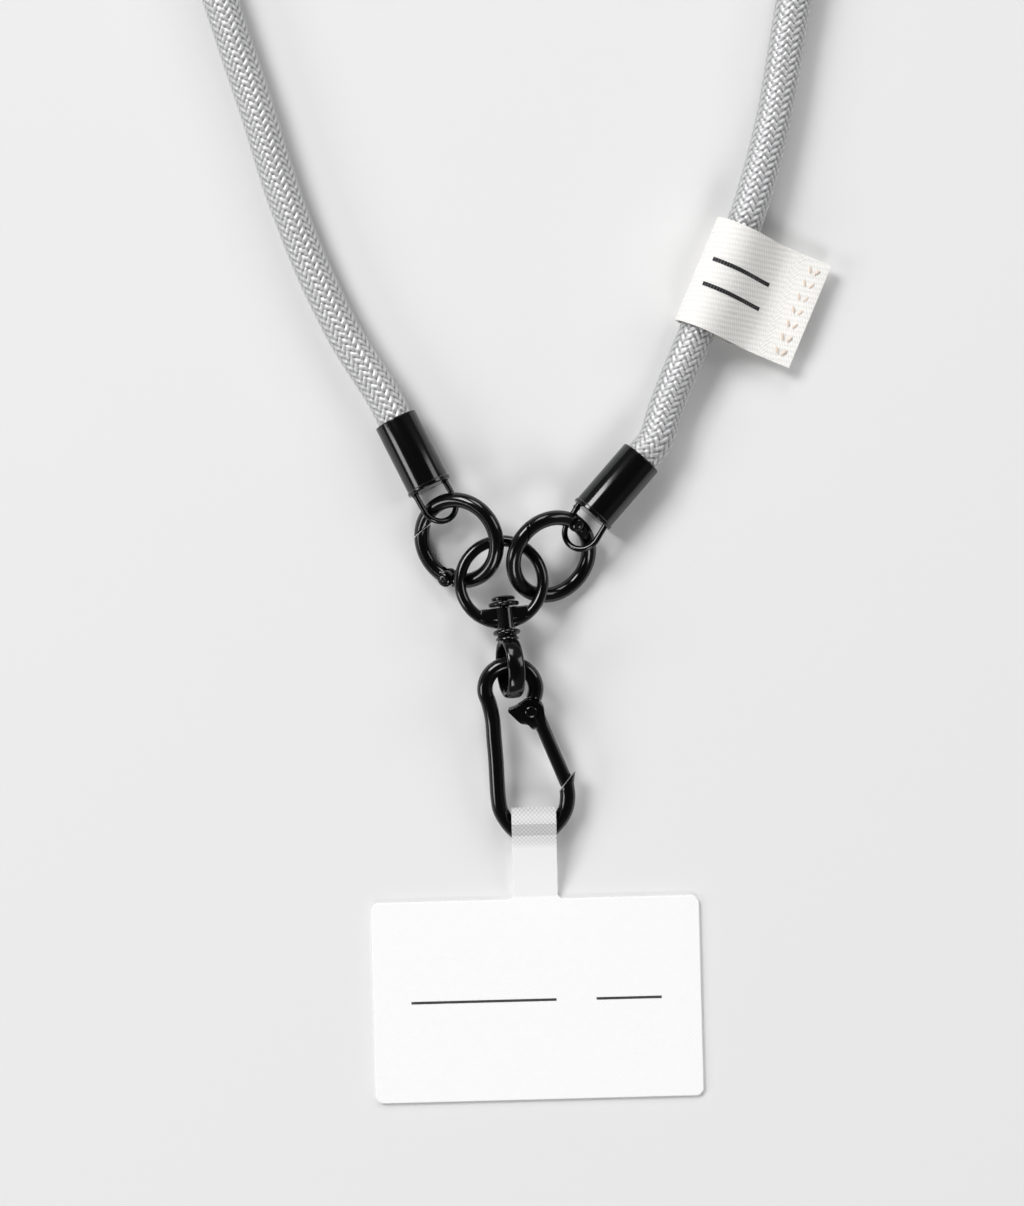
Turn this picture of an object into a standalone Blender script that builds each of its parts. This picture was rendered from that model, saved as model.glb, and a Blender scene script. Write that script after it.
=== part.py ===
"""Phone crossbody strap, laid flat: a braided rope whose two capped ends meet in gate rings,
a swivel, a carabiner and a flat card that goes into a phone case.

Metres, +Z up, +Y towards the rope. The origin is the centre of the card's underside, on the
surface that the strap lies on. The chain of hard pieces is placed from the card upwards, and
each piece takes its place from the one below it.
"""
import math

import bmesh
import bpy
from mathutils import Matrix, Vector

FIT = 0.0003                    # gap between pieces that meet

# Phone card and its tab
CARD_WIDTH = 0.0655
CARD_HEIGHT = 0.040
CARD_THICKNESS = 0.0008
CARD_CORNER = 0.0016
CARD_TURN = math.radians(1.5)
TAB_WIDTH = 0.0089
TAB_OFFSET = 0.0002             # centre of the tab, along the card's top edge
TAB_THICKNESS = 0.0006
TAB_REACH = 0.0186              # from the card's top edge to the fold
TAB_ROOT = 0.0025               # solid stretch where the two layers come together
TAB_RISE = 0.0015               # the upper layer goes up with the carabiner as far as the fold

# Carabiner. Its shape is given in its own plane, from the bottom of the loop, in shares of
# its length, which is the distance from there to the centre of the eye.
WIRE = 0.00155                  # radius of its wire
EYE_UP = 0.0298                 # centre of the eye above the bottom of the loop, wire centre
CLIP_EYE = 0.00505              # radius of the eye, to the wire's centre
CLIP_X = -0.00542               # the eye's centre, across
EYE_ARC = (math.radians(212), math.radians(-25))
BAR_DROP = 0.0060               # bottom of the loop below the fold of the tab, wire centre
CLIP_STEP = 0.0019
CLIP_WIRE = [(0.0060, 0.460), (0.0057, 0.370), (0.00598, 0.282), (0.00558, 0.188),
             (0.00408, 0.101), (0.00168, 0.027), (-0.00092, 0.0), (-0.00392, 0.030),
             (-0.00632, 0.114), (-0.00752, 0.195), (-0.00780, 0.255), (-0.00808, 0.385),
             (-0.00828, 0.512), (-0.00866, 0.667), (-0.00898, 0.800)]
PIVOT_PLACE = (-0.0013, 0.855)
BAR_START = (-0.0002, 0.839)
NOSE_PLACE = (0.00566, 0.376)
NOSE_ANGLE = math.radians(-38.1)
GATE_WIRE = 0.0014
GATE_SLOT = 0.0013              # gap of the fork that holds the tongue
TONGUE = 0.0007
TONGUE_ROUND = 0.0014
TONGUE_ROOT = 0.0               # angle on the eye where the tongue starts
PIN = 0.0006
PIN_HEAD = 0.00115
PIN_HEAD_HEIGHT = 0.0003
LEVER_THICKNESS = 0.0024
LEVER_ROUND = 0.0026
# Thumb lever about the pin: round the left side, down to the bar
LEVER = [(-0.0032, 0.0010), (-0.0044, 0.0006), (-0.0047, 0.0), (-0.0031, -0.0016),
         (-0.0021, -0.0025), (-0.0006, -0.0027), (0.0003, -0.0037), (0.0011, -0.0035),
         (0.0032, -0.0035)]

# Swivel
SWIVEL_RADIUS = 0.0082
SWIVEL_WIRE = 0.00115
SWIVEL_TILT = math.radians(6.0)
SWIVEL_LIFT = 0.00018
AXIS_TURN = math.radians(-84.0)  # plan direction of the swivel's axis
BAR_TOP = 0.0052                # inner face of the flat bar, from the ring's centre
BAR_WIDTH = 0.0096
BAR_DEPTH = 0.0024
BAR_THICKNESS = 0.0023
BOSS = 0.0019
POST = 0.0009
HEAD = 0.00235
HEAD_THICKNESS = 0.0010
WASHER = 0.00305
WASHER_THICKNESS = 0.0008
COLLAR = 0.0027
COLLAR_THICKNESS = 0.0009
EYE_LONG = 0.0061               # half length of the eye, outside, along the axis
EYE_HIGH = 0.0050               # half height, outside
EYE_BAND = 0.0034               # width of the band
EYE_THICKNESS = 0.0012
EYE_DISTANCE = 0.0171           # from the ring's centre to the eye's centre
EYE_ROLL = math.radians(16.0)   # turn of the eye about the axis
EYE_SEAT_SHIFT = 0.00065        # the wire lies this far beyond the middle of the eye

# Gate rings
RING_RADIUS = 0.00825
RING_WIRE = 0.0015
RING_SIDES = 10
RING_STEP = math.radians(8.0)
KNUCKLE = 0.0016                # round end of the gate, about its pin
KNUCKLE_HEIGHT = 0.0028
TONGUE_REACH = 0.0031           # root of the tongue from the pin, along the ring
GATE_SPAN = math.radians(84.0)
SCARF = math.radians(14.0)      # how far the oblique joint runs to each side of the span
LEFT_RING = dict(side="left", offset=(-0.00842, 0.00822), tilt=math.radians(29.2),
                 uphill=math.radians(30.2), pivot=math.radians(-51.3), sense=-1)
RIGHT_RING = dict(side="right", offset=(0.00988, 0.00501), tilt=math.radians(34.0),
                  uphill=math.radians(138.0), pivot=math.radians(10.6), sense=1)

ROPE = 0.0036                   # radius of the rope

# End caps with their bails
CAP_WALL = 0.0004
CAP_LENGTH = 0.0152
CAP_FLOOR = 0.0034
CAP_LIP = 0.0002
ROPE_ROOM = 0.00035             # between the rope and the cap's bore
CAP_RADIUS = ROPE + ROPE_ROOM + CAP_WALL
CAP_LIP_HEIGHT = 0.0007
CAP_RISE = 0.0007               # how much higher the bail end lies
BAIL_WIRE = 0.0006
BAIL_SPREAD = 0.0036            # half the distance between the legs
BAIL_REACH = 0.0073             # from the cap's end to the turn, wire centre
BAIL_SEAT = 0.0012
LEFT_CAP = dict(side="left", offset=(-0.0058, 0.0105), turn=math.radians(-63.1),
                swing=math.radians(2.8), twist=math.radians(-26.0))
RIGHT_CAP = dict(side="right", offset=(0.0080, 0.0082), turn=math.radians(229.2),
                 swing=math.radians(10.0), twist=math.radians(23.0))

# Rope
ROPE_STEP = 0.0168              # between the points of the tube
# The stretch between the caps, in plan: up the left strand, to and fro in plain folds that lie
# flat beyond the part that the photograph shows, and down the right strand.
ROUTE = [
    (-0.0385, 0.1328), (-0.0496, 0.1578), (-0.0559, 0.1774), (-0.0633, 0.1998),
    (-0.0715, 0.2280), (-0.0756, 0.2600), (-0.0764, 0.3010), (-0.0764, 0.3400),
    (-0.0723, 0.3512), (-0.0620, 0.3556), (-0.0517, 0.3512), (-0.0476, 0.3400),
    (-0.0476, 0.2300), (-0.0435, 0.2188), (-0.0332, 0.2144),
    (-0.0229, 0.2188), (-0.0188, 0.2300), (-0.0188, 0.3400),
    (-0.0147, 0.3512), (-0.0044, 0.3556), (0.0059, 0.3512), (0.0100, 0.3400),
    (0.0100, 0.2300), (0.0139, 0.2190), (0.0236, 0.2150),
    (0.0333, 0.2190), (0.0374, 0.2300), (0.0388, 0.3400),
    (0.0429, 0.3512), (0.0530, 0.3554), (0.0631, 0.3512), (0.0670, 0.3400),
    (0.0664, 0.2850), (0.0600, 0.2380), (0.0511, 0.1998), (0.0465, 0.1738),
    (0.0415, 0.1558), (0.0319, 0.1338), (0.0254, 0.1178),
]
LABEL_POINTS = (36, 37)         # points of the route that the label wraps

# Woven label
LABEL_WIDTH = 0.0218            # along the rope
LABEL_TAIL = 0.0195             # from the rope's centre to the open end
LABEL_CLOTH = 0.0005
LABEL_SLACK = 0.0011            # between the rope and the tape round it
LABEL_CENTRE = (0.0362, 0.1436)
LABEL_TURN = math.radians(-22.5)
LABEL_END_HEIGHT = 0.0026
ROPE_LIFT = LABEL_CLOTH + 2 * FIT   # the tape's lower layer lies under the rope


def material(name, colour, roughness, metallic=0.0):
    mat = bpy.data.materials.new(name)
    mat.use_nodes = True
    shader = mat.node_tree.nodes["Principled BSDF"]
    shader.inputs["Base Color"].default_value = (*colour, 1.0)
    shader.inputs["Roughness"].default_value = roughness
    shader.inputs["Metallic"].default_value = metallic
    return mat


def add_object(name, data, mat):
    obj = bpy.data.objects.new(name, data)
    data.materials.append(mat)
    bpy.context.scene.collection.objects.link(obj)
    return obj


def mesh_object(name, bm, mat, smooth_angle=40):
    bmesh.ops.recalc_face_normals(bm, faces=bm.faces[:])
    data = bpy.data.meshes.new(name)
    bm.to_mesh(data)
    bm.free()
    data.shade_smooth()
    data.set_sharp_from_angle(angle=math.radians(smooth_angle))
    return add_object(name, data, mat)


def evaluated_mesh(obj):
    graph = bpy.context.evaluated_depsgraph_get()
    return bpy.data.meshes.new_from_object(obj.evaluated_get(graph))


def combine(obj, tool, operation):
    """Join a tool shape to an object's mesh, or cut it away, and remove the tool."""
    boolean = obj.modifiers.new(operation.title(), "BOOLEAN")
    boolean.operation = operation
    boolean.solver = "EXACT"
    boolean.object = tool
    result = evaluated_mesh(obj)
    obj.modifiers.remove(boolean)
    old = obj.data
    obj.data = result
    bpy.data.meshes.remove(old)
    bpy.data.objects.remove(tool)


def cylinder(radius, start, end, segments=16):
    """A round bar between two points."""
    start = Vector(start)
    along = Vector(end) - start
    bm = bmesh.new()
    place = Matrix.Translation(start + along / 2) @ along.to_track_quat("Z", "Y").to_matrix().to_4x4()
    bmesh.ops.create_cone(bm, cap_ends=True, segments=segments, radius1=radius, radius2=radius,
                          depth=along.length, matrix=place)
    return bm


def block(size, place):
    bm = bmesh.new()
    bmesh.ops.create_cube(bm, size=1.0, matrix=place @ Matrix.Diagonal((*size, 1.0)))
    return bm


def turned(profile, segments, place):
    """A closed profile of (radius, height) turned about the local Z axis."""
    bm = bmesh.new()
    verts = [bm.verts.new((radius, 0.0, height)) for radius, height in profile]
    edges = [bm.edges.new(pair) for pair in zip(verts, verts[1:])]
    bmesh.ops.spin(bm, geom=verts + edges, cent=(0, 0, 0), axis=(0, 0, 1), dvec=(0, 0, 0),
                   angle=math.tau, steps=segments, use_merge=True, use_duplicate=False)
    bmesh.ops.remove_doubles(bm, verts=bm.verts[:], dist=1e-6)
    bmesh.ops.transform(bm, matrix=place, verts=bm.verts[:])
    return bm


def ring_arc(radius, wire, start, end, sides, step):
    """A round bar bent about the local Z axis from one angle to another, with flat ends."""
    bm = bmesh.new()
    place = (Matrix.Rotation(start, 4, "Z") @ Matrix.Translation((radius, 0, 0))
             @ Matrix.Rotation(math.pi / 2, 4, "X"))
    circle = bmesh.ops.create_circle(bm, cap_ends=False, radius=wire, segments=sides, matrix=place)
    steps = max(3, round(abs(end - start) / step))
    whole = abs(abs(end - start) - math.tau) < 1e-6
    bmesh.ops.spin(bm, geom=circle["verts"] + bm.edges[:], cent=(0, 0, 0), axis=(0, 0, 1),
                   dvec=(0, 0, 0), angle=end - start, steps=steps, use_merge=whole,
                   use_duplicate=False)
    bmesh.ops.remove_doubles(bm, verts=bm.verts[:], dist=1e-6)
    if not whole:
        bmesh.ops.holes_fill(bm, edges=[edge for edge in bm.edges if edge.is_boundary])
    return bm


def clip_point(x, share):
    """A place in the carabiner's plane."""
    return Vector((x, share * EYE_UP, 0.0))


def smooth_route(points, spacing):
    """Points about a spacing apart on a smooth curve through the given points."""
    ends = [points[0] * 2 - points[1], *points, points[-1] * 2 - points[-2]]
    out = []
    for p0, p1, p2, p3 in zip(ends, ends[1:], ends[2:], ends[3:]):
        before, here, after = (p1 - p0).length, (p2 - p1).length, (p3 - p2).length
        slope1 = (p1 - p0) / before - (p2 - p0) / (before + here) + (p2 - p1) / here
        slope2 = (p2 - p1) / here - (p3 - p1) / (here + after) + (p3 - p2) / after
        steps = max(1, round(here / spacing))
        for index in range(steps):
            t = index / steps
            out.append((2 * t ** 3 - 3 * t ** 2 + 1) * p1 + (t ** 3 - 2 * t ** 2 + t) * here * slope1
                       + (3 * t ** 2 - 2 * t ** 3) * p2 + (t ** 3 - t ** 2) * here * slope2)
    out.append(points[-1].copy())
    return out


def wire_curve(name, points, radius, resolution):
    curve = bpy.data.curves.new(name, "CURVE")
    curve.dimensions = "3D"
    curve.bevel_depth = radius
    curve.bevel_resolution = resolution
    curve.use_fill_caps = True
    spline = curve.splines.new("POLY")
    spline.points.add(len(points) - 1)
    for point, place in zip(spline.points, points):
        point.co = (*place, 1.0)
    return curve


def wire_mesh_object(name, points, radius, resolution, mat):
    """A bent round wire, as a mesh that other shapes can be joined to."""
    guide = add_object(name + "_guide", wire_curve(name, points, radius, resolution), mat)
    data = evaluated_mesh(guide)
    bpy.data.objects.remove(guide)
    bm = bmesh.new()
    bm.from_mesh(data)
    bpy.data.meshes.remove(data)
    bmesh.ops.remove_doubles(bm, verts=bm.verts[:], dist=1e-6)
    return mesh_object(name, bm, mat)


def plate_curve(name, loops, thickness):
    """A flat outline, with its holes, as a plate of the given thickness."""
    curve = bpy.data.curves.new(name, "CURVE")
    curve.dimensions = "2D"
    curve.fill_mode = "BOTH"
    curve.extrude = thickness / 2
    for loop in loops:
        spline = curve.splines.new("POLY")
        spline.points.add(len(loop) - 1)
        for point, (x, y) in zip(spline.points, loop):
            point.co = (x, y, 0.0, 1.0)
        spline.use_cyclic_u = True
    return curve


def plate_object(name, loops, thickness, place, mat):
    guide = add_object(name + "_guide", plate_curve(name, loops, thickness), mat)
    data = evaluated_mesh(guide)
    bpy.data.objects.remove(guide)
    bm = bmesh.new()
    bm.from_mesh(data)
    bpy.data.meshes.remove(data)
    bmesh.ops.remove_doubles(bm, verts=bm.verts[:], dist=1e-6)
    bmesh.ops.transform(bm, matrix=place, verts=bm.verts[:])
    return mesh_object(name, bm, mat)


def arc_points(centre, radius, start, end, count):
    """Points on an arc in a plane, both ends included."""
    return [(centre[0] + radius * math.cos(start + (end - start) * index / (count - 1)),
             centre[1] + radius * math.sin(start + (end - start) * index / (count - 1)))
            for index in range(count)]


def set_origin(obj, place):
    """Move an object's origin to a place without moving its mesh."""
    obj.data.transform(place.inverted())
    obj.matrix_world = place


def block_object(size, place, mat):
    return mesh_object("block_tool", block(size, place), mat)


def trim(obj, point, normal, size=0.008):
    """Cut off what lies within a block's size beyond a point, on the normal's side."""
    place = Matrix.Translation(point) @ normal.to_track_quat("Z", "Y").to_matrix().to_4x4()
    tool = block_object((size, size, size), place @ Matrix.Translation((0, 0, size / 2)),
                        obj.data.materials[0])
    combine(obj, tool, "DIFFERENCE")


def cut_round(obj, point, radius, height):
    """Cut a round hole, or a round slot, about a point on the local Z axis."""
    half = Vector((0, 0, height / 2))
    bm = cylinder(radius, point - half, point + half, 24)
    combine(obj, mesh_object("round_tool", bm, obj.data.materials[0]), "DIFFERENCE")


def add_round(obj, start, end, radius, segments=20):
    tool = mesh_object("round_tool", cylinder(radius, start, end, segments), obj.data.materials[0])
    combine(obj, tool, "UNION")


def add_tongue(obj, point, towards):
    """A flat tongue with a round end at a pin, and the hole for the pin."""
    half = Vector((0, 0, TONGUE / 2))
    add_round(obj, point - half, point + half, TONGUE_ROUND)
    length = towards.length
    along = towards.to_track_quat("X", "Z").to_matrix().to_4x4()
    place = Matrix.Translation(point) @ along @ Matrix.Translation((length / 2, 0, 0))
    arm = block_object((length, 1.5 * TONGUE_ROUND, TONGUE), place, obj.data.materials[0])
    combine(obj, arm, "UNION")
    cut_round(obj, point, PIN + FIT, 4 * TONGUE)


# Places along the chain, from the card upwards

BAR_Y = CARD_HEIGHT / 2 + TAB_REACH - BAR_DROP
CLIP_BOTTOM = Vector((0.0, BAR_Y, TAB_THICKNESS + FIT + WIRE))
CLIP_REACH = EYE_UP + CLIP_EYE                  # bottom of the loop to top of the eye
SWIVEL_Z = RING_RADIUS * math.sin(LEFT_RING["tilt"]) + RING_WIRE + SWIVEL_WIRE + SWIVEL_LIFT
EYE_Z = SWIVEL_Z + EYE_DISTANCE * math.sin(SWIVEL_TILT)
EYE_SEAT = (EYE_Z - (EYE_HIGH - EYE_THICKNESS) * math.cos(EYE_ROLL)
            + EYE_BAND / 2 * math.sin(EYE_ROLL))
CLIP_RISE = math.asin((EYE_SEAT + WIRE + FIT - CLIP_BOTTOM.z) / CLIP_REACH)
CLIP = Matrix.Translation(CLIP_BOTTOM) @ Matrix.Rotation(CLIP_RISE, 4, "X")
CLIP_PIVOT = clip_point(*PIVOT_PLACE)
GATE_START = clip_point(*BAR_START)
NOSE_CUT = clip_point(*NOSE_PLACE)
NOSE_NORMAL = Vector((math.cos(NOSE_ANGLE), math.sin(NOSE_ANGLE), 0.0))


def swivel_frame():
    """Origin at the ring's centre, -Y along the swivel's axis towards the eye, Z across."""
    plan = Vector((math.cos(AXIS_TURN), math.sin(AXIS_TURN), 0.0))
    eye = Vector((CLIP_X, BAR_Y + CLIP_REACH * math.cos(CLIP_RISE) - EYE_SEAT_SHIFT, 0.0))
    centre = eye - plan * EYE_DISTANCE * math.cos(SWIVEL_TILT)
    centre.z = SWIVEL_Z
    return (Matrix.Translation(centre) @ Matrix.Rotation(AXIS_TURN + math.pi / 2, 4, "Z")
            @ Matrix.Rotation(-SWIVEL_TILT, 4, "X"))


SWIVEL = swivel_frame()


def ring_frame(ring):
    """Origin at a gate ring's centre, +Y uphill in its plane, Z its normal."""
    centre = SWIVEL.translation + Vector((*ring["offset"], 0.0))
    centre.z = RING_RADIUS * math.sin(ring["tilt"]) + RING_WIRE
    return (Matrix.Translation(centre) @ Matrix.Rotation(ring["uphill"] - math.pi / 2, 4, "Z")
            @ Matrix.Rotation(ring["tilt"], 4, "X"))


def pivot_point(ring):
    return Vector((RING_RADIUS * math.cos(ring["pivot"]), RING_RADIUS * math.sin(ring["pivot"]), 0))


def cap_frame(cap, ring):
    """Origin at the cap's bail end, +Z along its axis towards the bail, Y up."""
    end = ring_frame(ring).translation + Vector((*cap["offset"], 0.0))
    end.z = CAP_RADIUS + CAP_RISE
    rise = math.asin(CAP_RISE / CAP_LENGTH)
    axis = Vector((math.cos(cap["turn"]) * math.cos(rise), math.sin(cap["turn"]) * math.cos(rise),
                   math.sin(rise)))
    across = Vector((-axis.y, axis.x, 0.0)).normalized()
    up = axis.cross(across)
    return Matrix.Translation(end) @ Matrix((across, up, axis)).transposed().to_4x4()


def make_card(mat):
    half_w = CARD_WIDTH / 2 - CARD_CORNER
    half_h = CARD_HEIGHT / 2 - CARD_CORNER
    outline = []
    for quarter, (x, y) in enumerate(((1, 1), (-1, 1), (-1, -1), (1, -1))):
        start = quarter * math.pi / 2
        outline += arc_points((x * half_w, y * half_h), CARD_CORNER, start, start + math.pi / 2, 6)
    turn = Matrix.Rotation(CARD_TURN, 4, "Z")
    place = turn @ Matrix.Translation((0, 0, CARD_THICKNESS / 2))
    card = plate_object("phone_card", [outline], CARD_THICKNESS, place, mat)
    combine(card, make_tab(turn, mat), "UNION")
    return card


def make_tab(turn, mat):
    """The tab's side view, as (y, z): over the wire, round the fold and back underneath."""
    root = CARD_HEIGHT / 2 + TAB_ROOT
    over = CLIP_BOTTOM.z + WIRE + FIT
    fold = (over + TAB_RISE + TAB_THICKNESS) / 2
    centre = (CARD_HEIGHT / 2 + TAB_REACH - fold, fold)
    inner = [(root, TAB_THICKNESS)]
    inner += arc_points(centre, fold - TAB_THICKNESS, -math.pi / 2, math.pi / 2, 9)
    bar = (BAR_Y, CLIP_BOTTOM.z)
    inner += arc_points(bar, WIRE + FIT, math.radians(80), math.radians(115), 4)
    inner += [(root, TAB_THICKNESS + FIT)]
    edge = CARD_HEIGHT / 2 - FIT
    inset = CARD_THICKNESS / 8
    outer = [(edge - TAB_ROOT, inset), (edge, inset), (edge + 2 * FIT, 0.0)]
    outer += arc_points(centre, fold, -math.pi / 2, math.pi / 2, 9)
    outer += arc_points(bar, WIRE + FIT + TAB_THICKNESS, math.radians(80), math.radians(115), 4)
    outer += [(root, 2 * TAB_THICKNESS + FIT), (edge + 2 * FIT, CARD_THICKNESS),
              (edge, CARD_THICKNESS - inset), (edge - TAB_ROOT, CARD_THICKNESS - inset)]
    side = Matrix(((0, 0, 1, TAB_OFFSET), (1, 0, 0, 0), (0, 1, 0, 0), (0, 0, 0, 1)))
    return plate_object("tab_tool", [outer, inner], TAB_WIDTH, turn @ side, mat)


def make_carabiner_body(mat):
    wire = [clip_point(x, y) for x, y in CLIP_WIRE]
    arc = arc_points((CLIP_X, EYE_UP), CLIP_EYE, *EYE_ARC, 10)
    wire += [Vector((x, y, 0.0)) for x, y in arc]
    body = wire_mesh_object("carabiner_body", smooth_route(wire, CLIP_STEP), WIRE, 4, mat)
    trim(body, NOSE_CUT + NOSE_NORMAL * FIT / 2, -NOSE_NORMAL)
    cut_round(body, CLIP_PIVOT, LEVER_ROUND + FIT, 4 * WIRE)
    root = Vector((CLIP_X + CLIP_EYE * math.cos(TONGUE_ROOT),
                   EYE_UP + CLIP_EYE * math.sin(TONGUE_ROOT), 0.0))
    add_tongue(body, CLIP_PIVOT, root - CLIP_PIVOT)
    body.data.transform(CLIP)
    return body


def make_carabiner_gate(mat):
    outline = [(CLIP_PIVOT.x + x, CLIP_PIVOT.y + y) for x, y in LEVER]
    outline += arc_points(CLIP_PIVOT.xy, LEVER_ROUND, 0.0, math.radians(135), 10)
    gate = plate_object("carabiner_gate", [outline], LEVER_THICKNESS, Matrix(), mat)
    past_nose = NOSE_CUT + (NOSE_CUT - GATE_START) * 0.2
    bar = wire_mesh_object("bar_tool", [GATE_START, past_nose], GATE_WIRE, 3, mat)
    combine(gate, bar, "UNION")
    trim(gate, NOSE_CUT - NOSE_NORMAL * FIT / 2, NOSE_NORMAL)
    cut_round(gate, CLIP_PIVOT, LEVER_ROUND + FIT, GATE_SLOT)
    cut_round(gate, CLIP_PIVOT, PIN + FIT, 4 * WIRE)
    gate.data.transform(CLIP)
    set_origin(gate, CLIP @ Matrix.Translation(CLIP_PIVOT))
    return gate


def make_pin(name, place, thickness, mat):
    """A rivet through a fork: its shaft and a head on each side, along the local Z axis."""
    inside = thickness / 2 + FIT
    outside = inside + PIN_HEAD_HEIGHT
    profile = [(0, -outside), (PIN_HEAD, -outside), (PIN_HEAD, -inside), (PIN, -inside),
               (PIN, inside), (PIN_HEAD, inside), (PIN_HEAD, outside), (0, outside)]
    return mesh_object(name, turned(profile, 14, place), mat)


def make_gate_ring(ring, mat):
    """The fixed part of a gate ring: most of the ring, with a tongue at the gate's pin."""
    start = ring["pivot"] + ring["sense"] * (GATE_SPAN - 1.5 * SCARF)
    end = ring["pivot"] + ring["sense"] * math.tau
    arc = ring_arc(RING_RADIUS, RING_WIRE, start, end, RING_SIDES, RING_STEP)
    body = mesh_object(ring["side"] + "_gate_ring", arc, mat)
    point, normal = scarf(ring)
    trim(body, point + normal * FIT / 2, -normal)
    pivot = pivot_point(ring)
    cut_round(body, pivot, KNUCKLE + FIT, 4 * RING_WIRE)
    back = ring["pivot"] - ring["sense"] * TONGUE_REACH / RING_RADIUS
    seat = Vector((RING_RADIUS * math.cos(back), RING_RADIUS * math.sin(back), 0.0))
    add_tongue(body, pivot, seat - pivot)
    body.data.transform(ring_frame(ring))
    return body


def scarf(ring):
    """The oblique joint at the gate's nose: a point on it and its normal, towards the ring."""
    outer_angle = ring["pivot"] + ring["sense"] * (GATE_SPAN - SCARF)
    inner_angle = ring["pivot"] + ring["sense"] * (GATE_SPAN + SCARF)
    outer = Vector((math.cos(outer_angle), math.sin(outer_angle), 0)) * (RING_RADIUS + RING_WIRE)
    inner = Vector((math.cos(inner_angle), math.sin(inner_angle), 0)) * (RING_RADIUS - RING_WIRE)
    normal = (inner - outer).cross(Vector((0, 0, 1))).normalized() * ring["sense"]
    return (inner + outer) / 2, normal


def make_ring_gate(ring, mat):
    nose = ring["pivot"] + ring["sense"] * (GATE_SPAN + 1.5 * SCARF)
    arc = ring_arc(RING_RADIUS, RING_WIRE, ring["pivot"], nose, RING_SIDES, RING_STEP)
    gate = mesh_object(ring["side"] + "_ring_gate", arc, mat)
    point, normal = scarf(ring)
    trim(gate, point - normal * FIT / 2, normal)
    pivot = pivot_point(ring)
    half = Vector((0, 0, KNUCKLE_HEIGHT / 2))
    add_round(gate, pivot - half, pivot + half, KNUCKLE)
    cut_round(gate, pivot, KNUCKLE + TONGUE_ROUND / 2, GATE_SLOT)
    cut_round(gate, pivot, PIN + FIT, 4 * RING_WIRE)
    gate.data.transform(ring_frame(ring))
    set_origin(gate, ring_frame(ring) @ Matrix.Translation(pivot))
    return gate


def make_swivel_ring(mat):
    whole = ring_arc(SWIVEL_RADIUS, SWIVEL_WIRE, 0.0, math.tau, RING_SIDES, RING_STEP)
    ring = mesh_object("swivel_ring", whole, mat)
    middle = -(BAR_TOP + BAR_DEPTH / 2)
    bar = block_object((BAR_WIDTH, BAR_DEPTH, BAR_THICKNESS), Matrix.Translation((0, middle, 0)),
                       mat)
    combine(ring, bar, "UNION")
    outside = -(SWIVEL_RADIUS + SWIVEL_WIRE)
    add_round(ring, (0, -BAR_TOP, 0), (0, outside, 0), BOSS)
    bore = cylinder(POST + FIT, (0, -BAR_TOP + POST, 0), (0, outside - POST, 0))
    combine(ring, mesh_object("bore_tool", bore, mat), "DIFFERENCE")
    ring.data.transform(SWIVEL)
    return ring


def make_swivel_post(mat):
    """Rivet head, shaft, two collar beads and the flat-band eye, soldered into one piece."""
    head = BAR_TOP - WASHER_THICKNESS - 2 * FIT
    collar = SWIVEL_RADIUS + SWIVEL_WIRE + FIT
    bead = collar + COLLAR_THICKNESS
    end = EYE_DISTANCE - EYE_LONG + EYE_THICKNESS / 2
    profile = [(0, head - HEAD_THICKNESS), (HEAD * 0.7, head - HEAD_THICKNESS),
               (HEAD, head - HEAD_THICKNESS / 2), (HEAD, head), (POST, head), (POST, collar),
               (COLLAR, collar), (COLLAR, bead), (COLLAR * 0.7, bead + FIT),
               (COLLAR * 0.85, bead + 2 * FIT), (COLLAR * 0.85, end), (0, end)]
    along = SWIVEL @ Matrix.Rotation(math.pi / 2, 4, "X")
    post = mesh_object("swivel_post", turned(profile, 20, along), mat)
    middle = EYE_HIGH - EYE_THICKNESS / 2
    half = EYE_BAND / 2
    edge = EYE_THICKNESS / 2
    band = [(middle - edge, -half * 0.8), (middle - edge, half * 0.8), (middle, half),
            (middle + edge, half * 0.8), (middle + edge, -half * 0.8), (middle, -half),
            (middle - edge, -half * 0.8)]
    place = (SWIVEL @ Matrix.Translation((0, -EYE_DISTANCE, 0)) @ Matrix.Rotation(EYE_ROLL, 4, "Y")
             @ Matrix.Rotation(math.pi / 2, 4, "Y") @ Matrix.Scale(EYE_LONG / EYE_HIGH, 4, (0, 1, 0)))
    combine(post, mesh_object("eye_tool", turned(band, 32, place), mat), "UNION")
    return post


def make_washer(mat):
    low = BAR_TOP - FIT - WASHER_THICKNESS
    high = BAR_TOP - FIT
    hole = POST + FIT
    profile = [(hole, low), (WASHER, low), (WASHER, high), (hole, high), (hole, low)]
    along = SWIVEL @ Matrix.Rotation(math.pi / 2, 4, "X")
    return mesh_object("swivel_washer", turned(profile, 20, along), mat)


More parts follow.
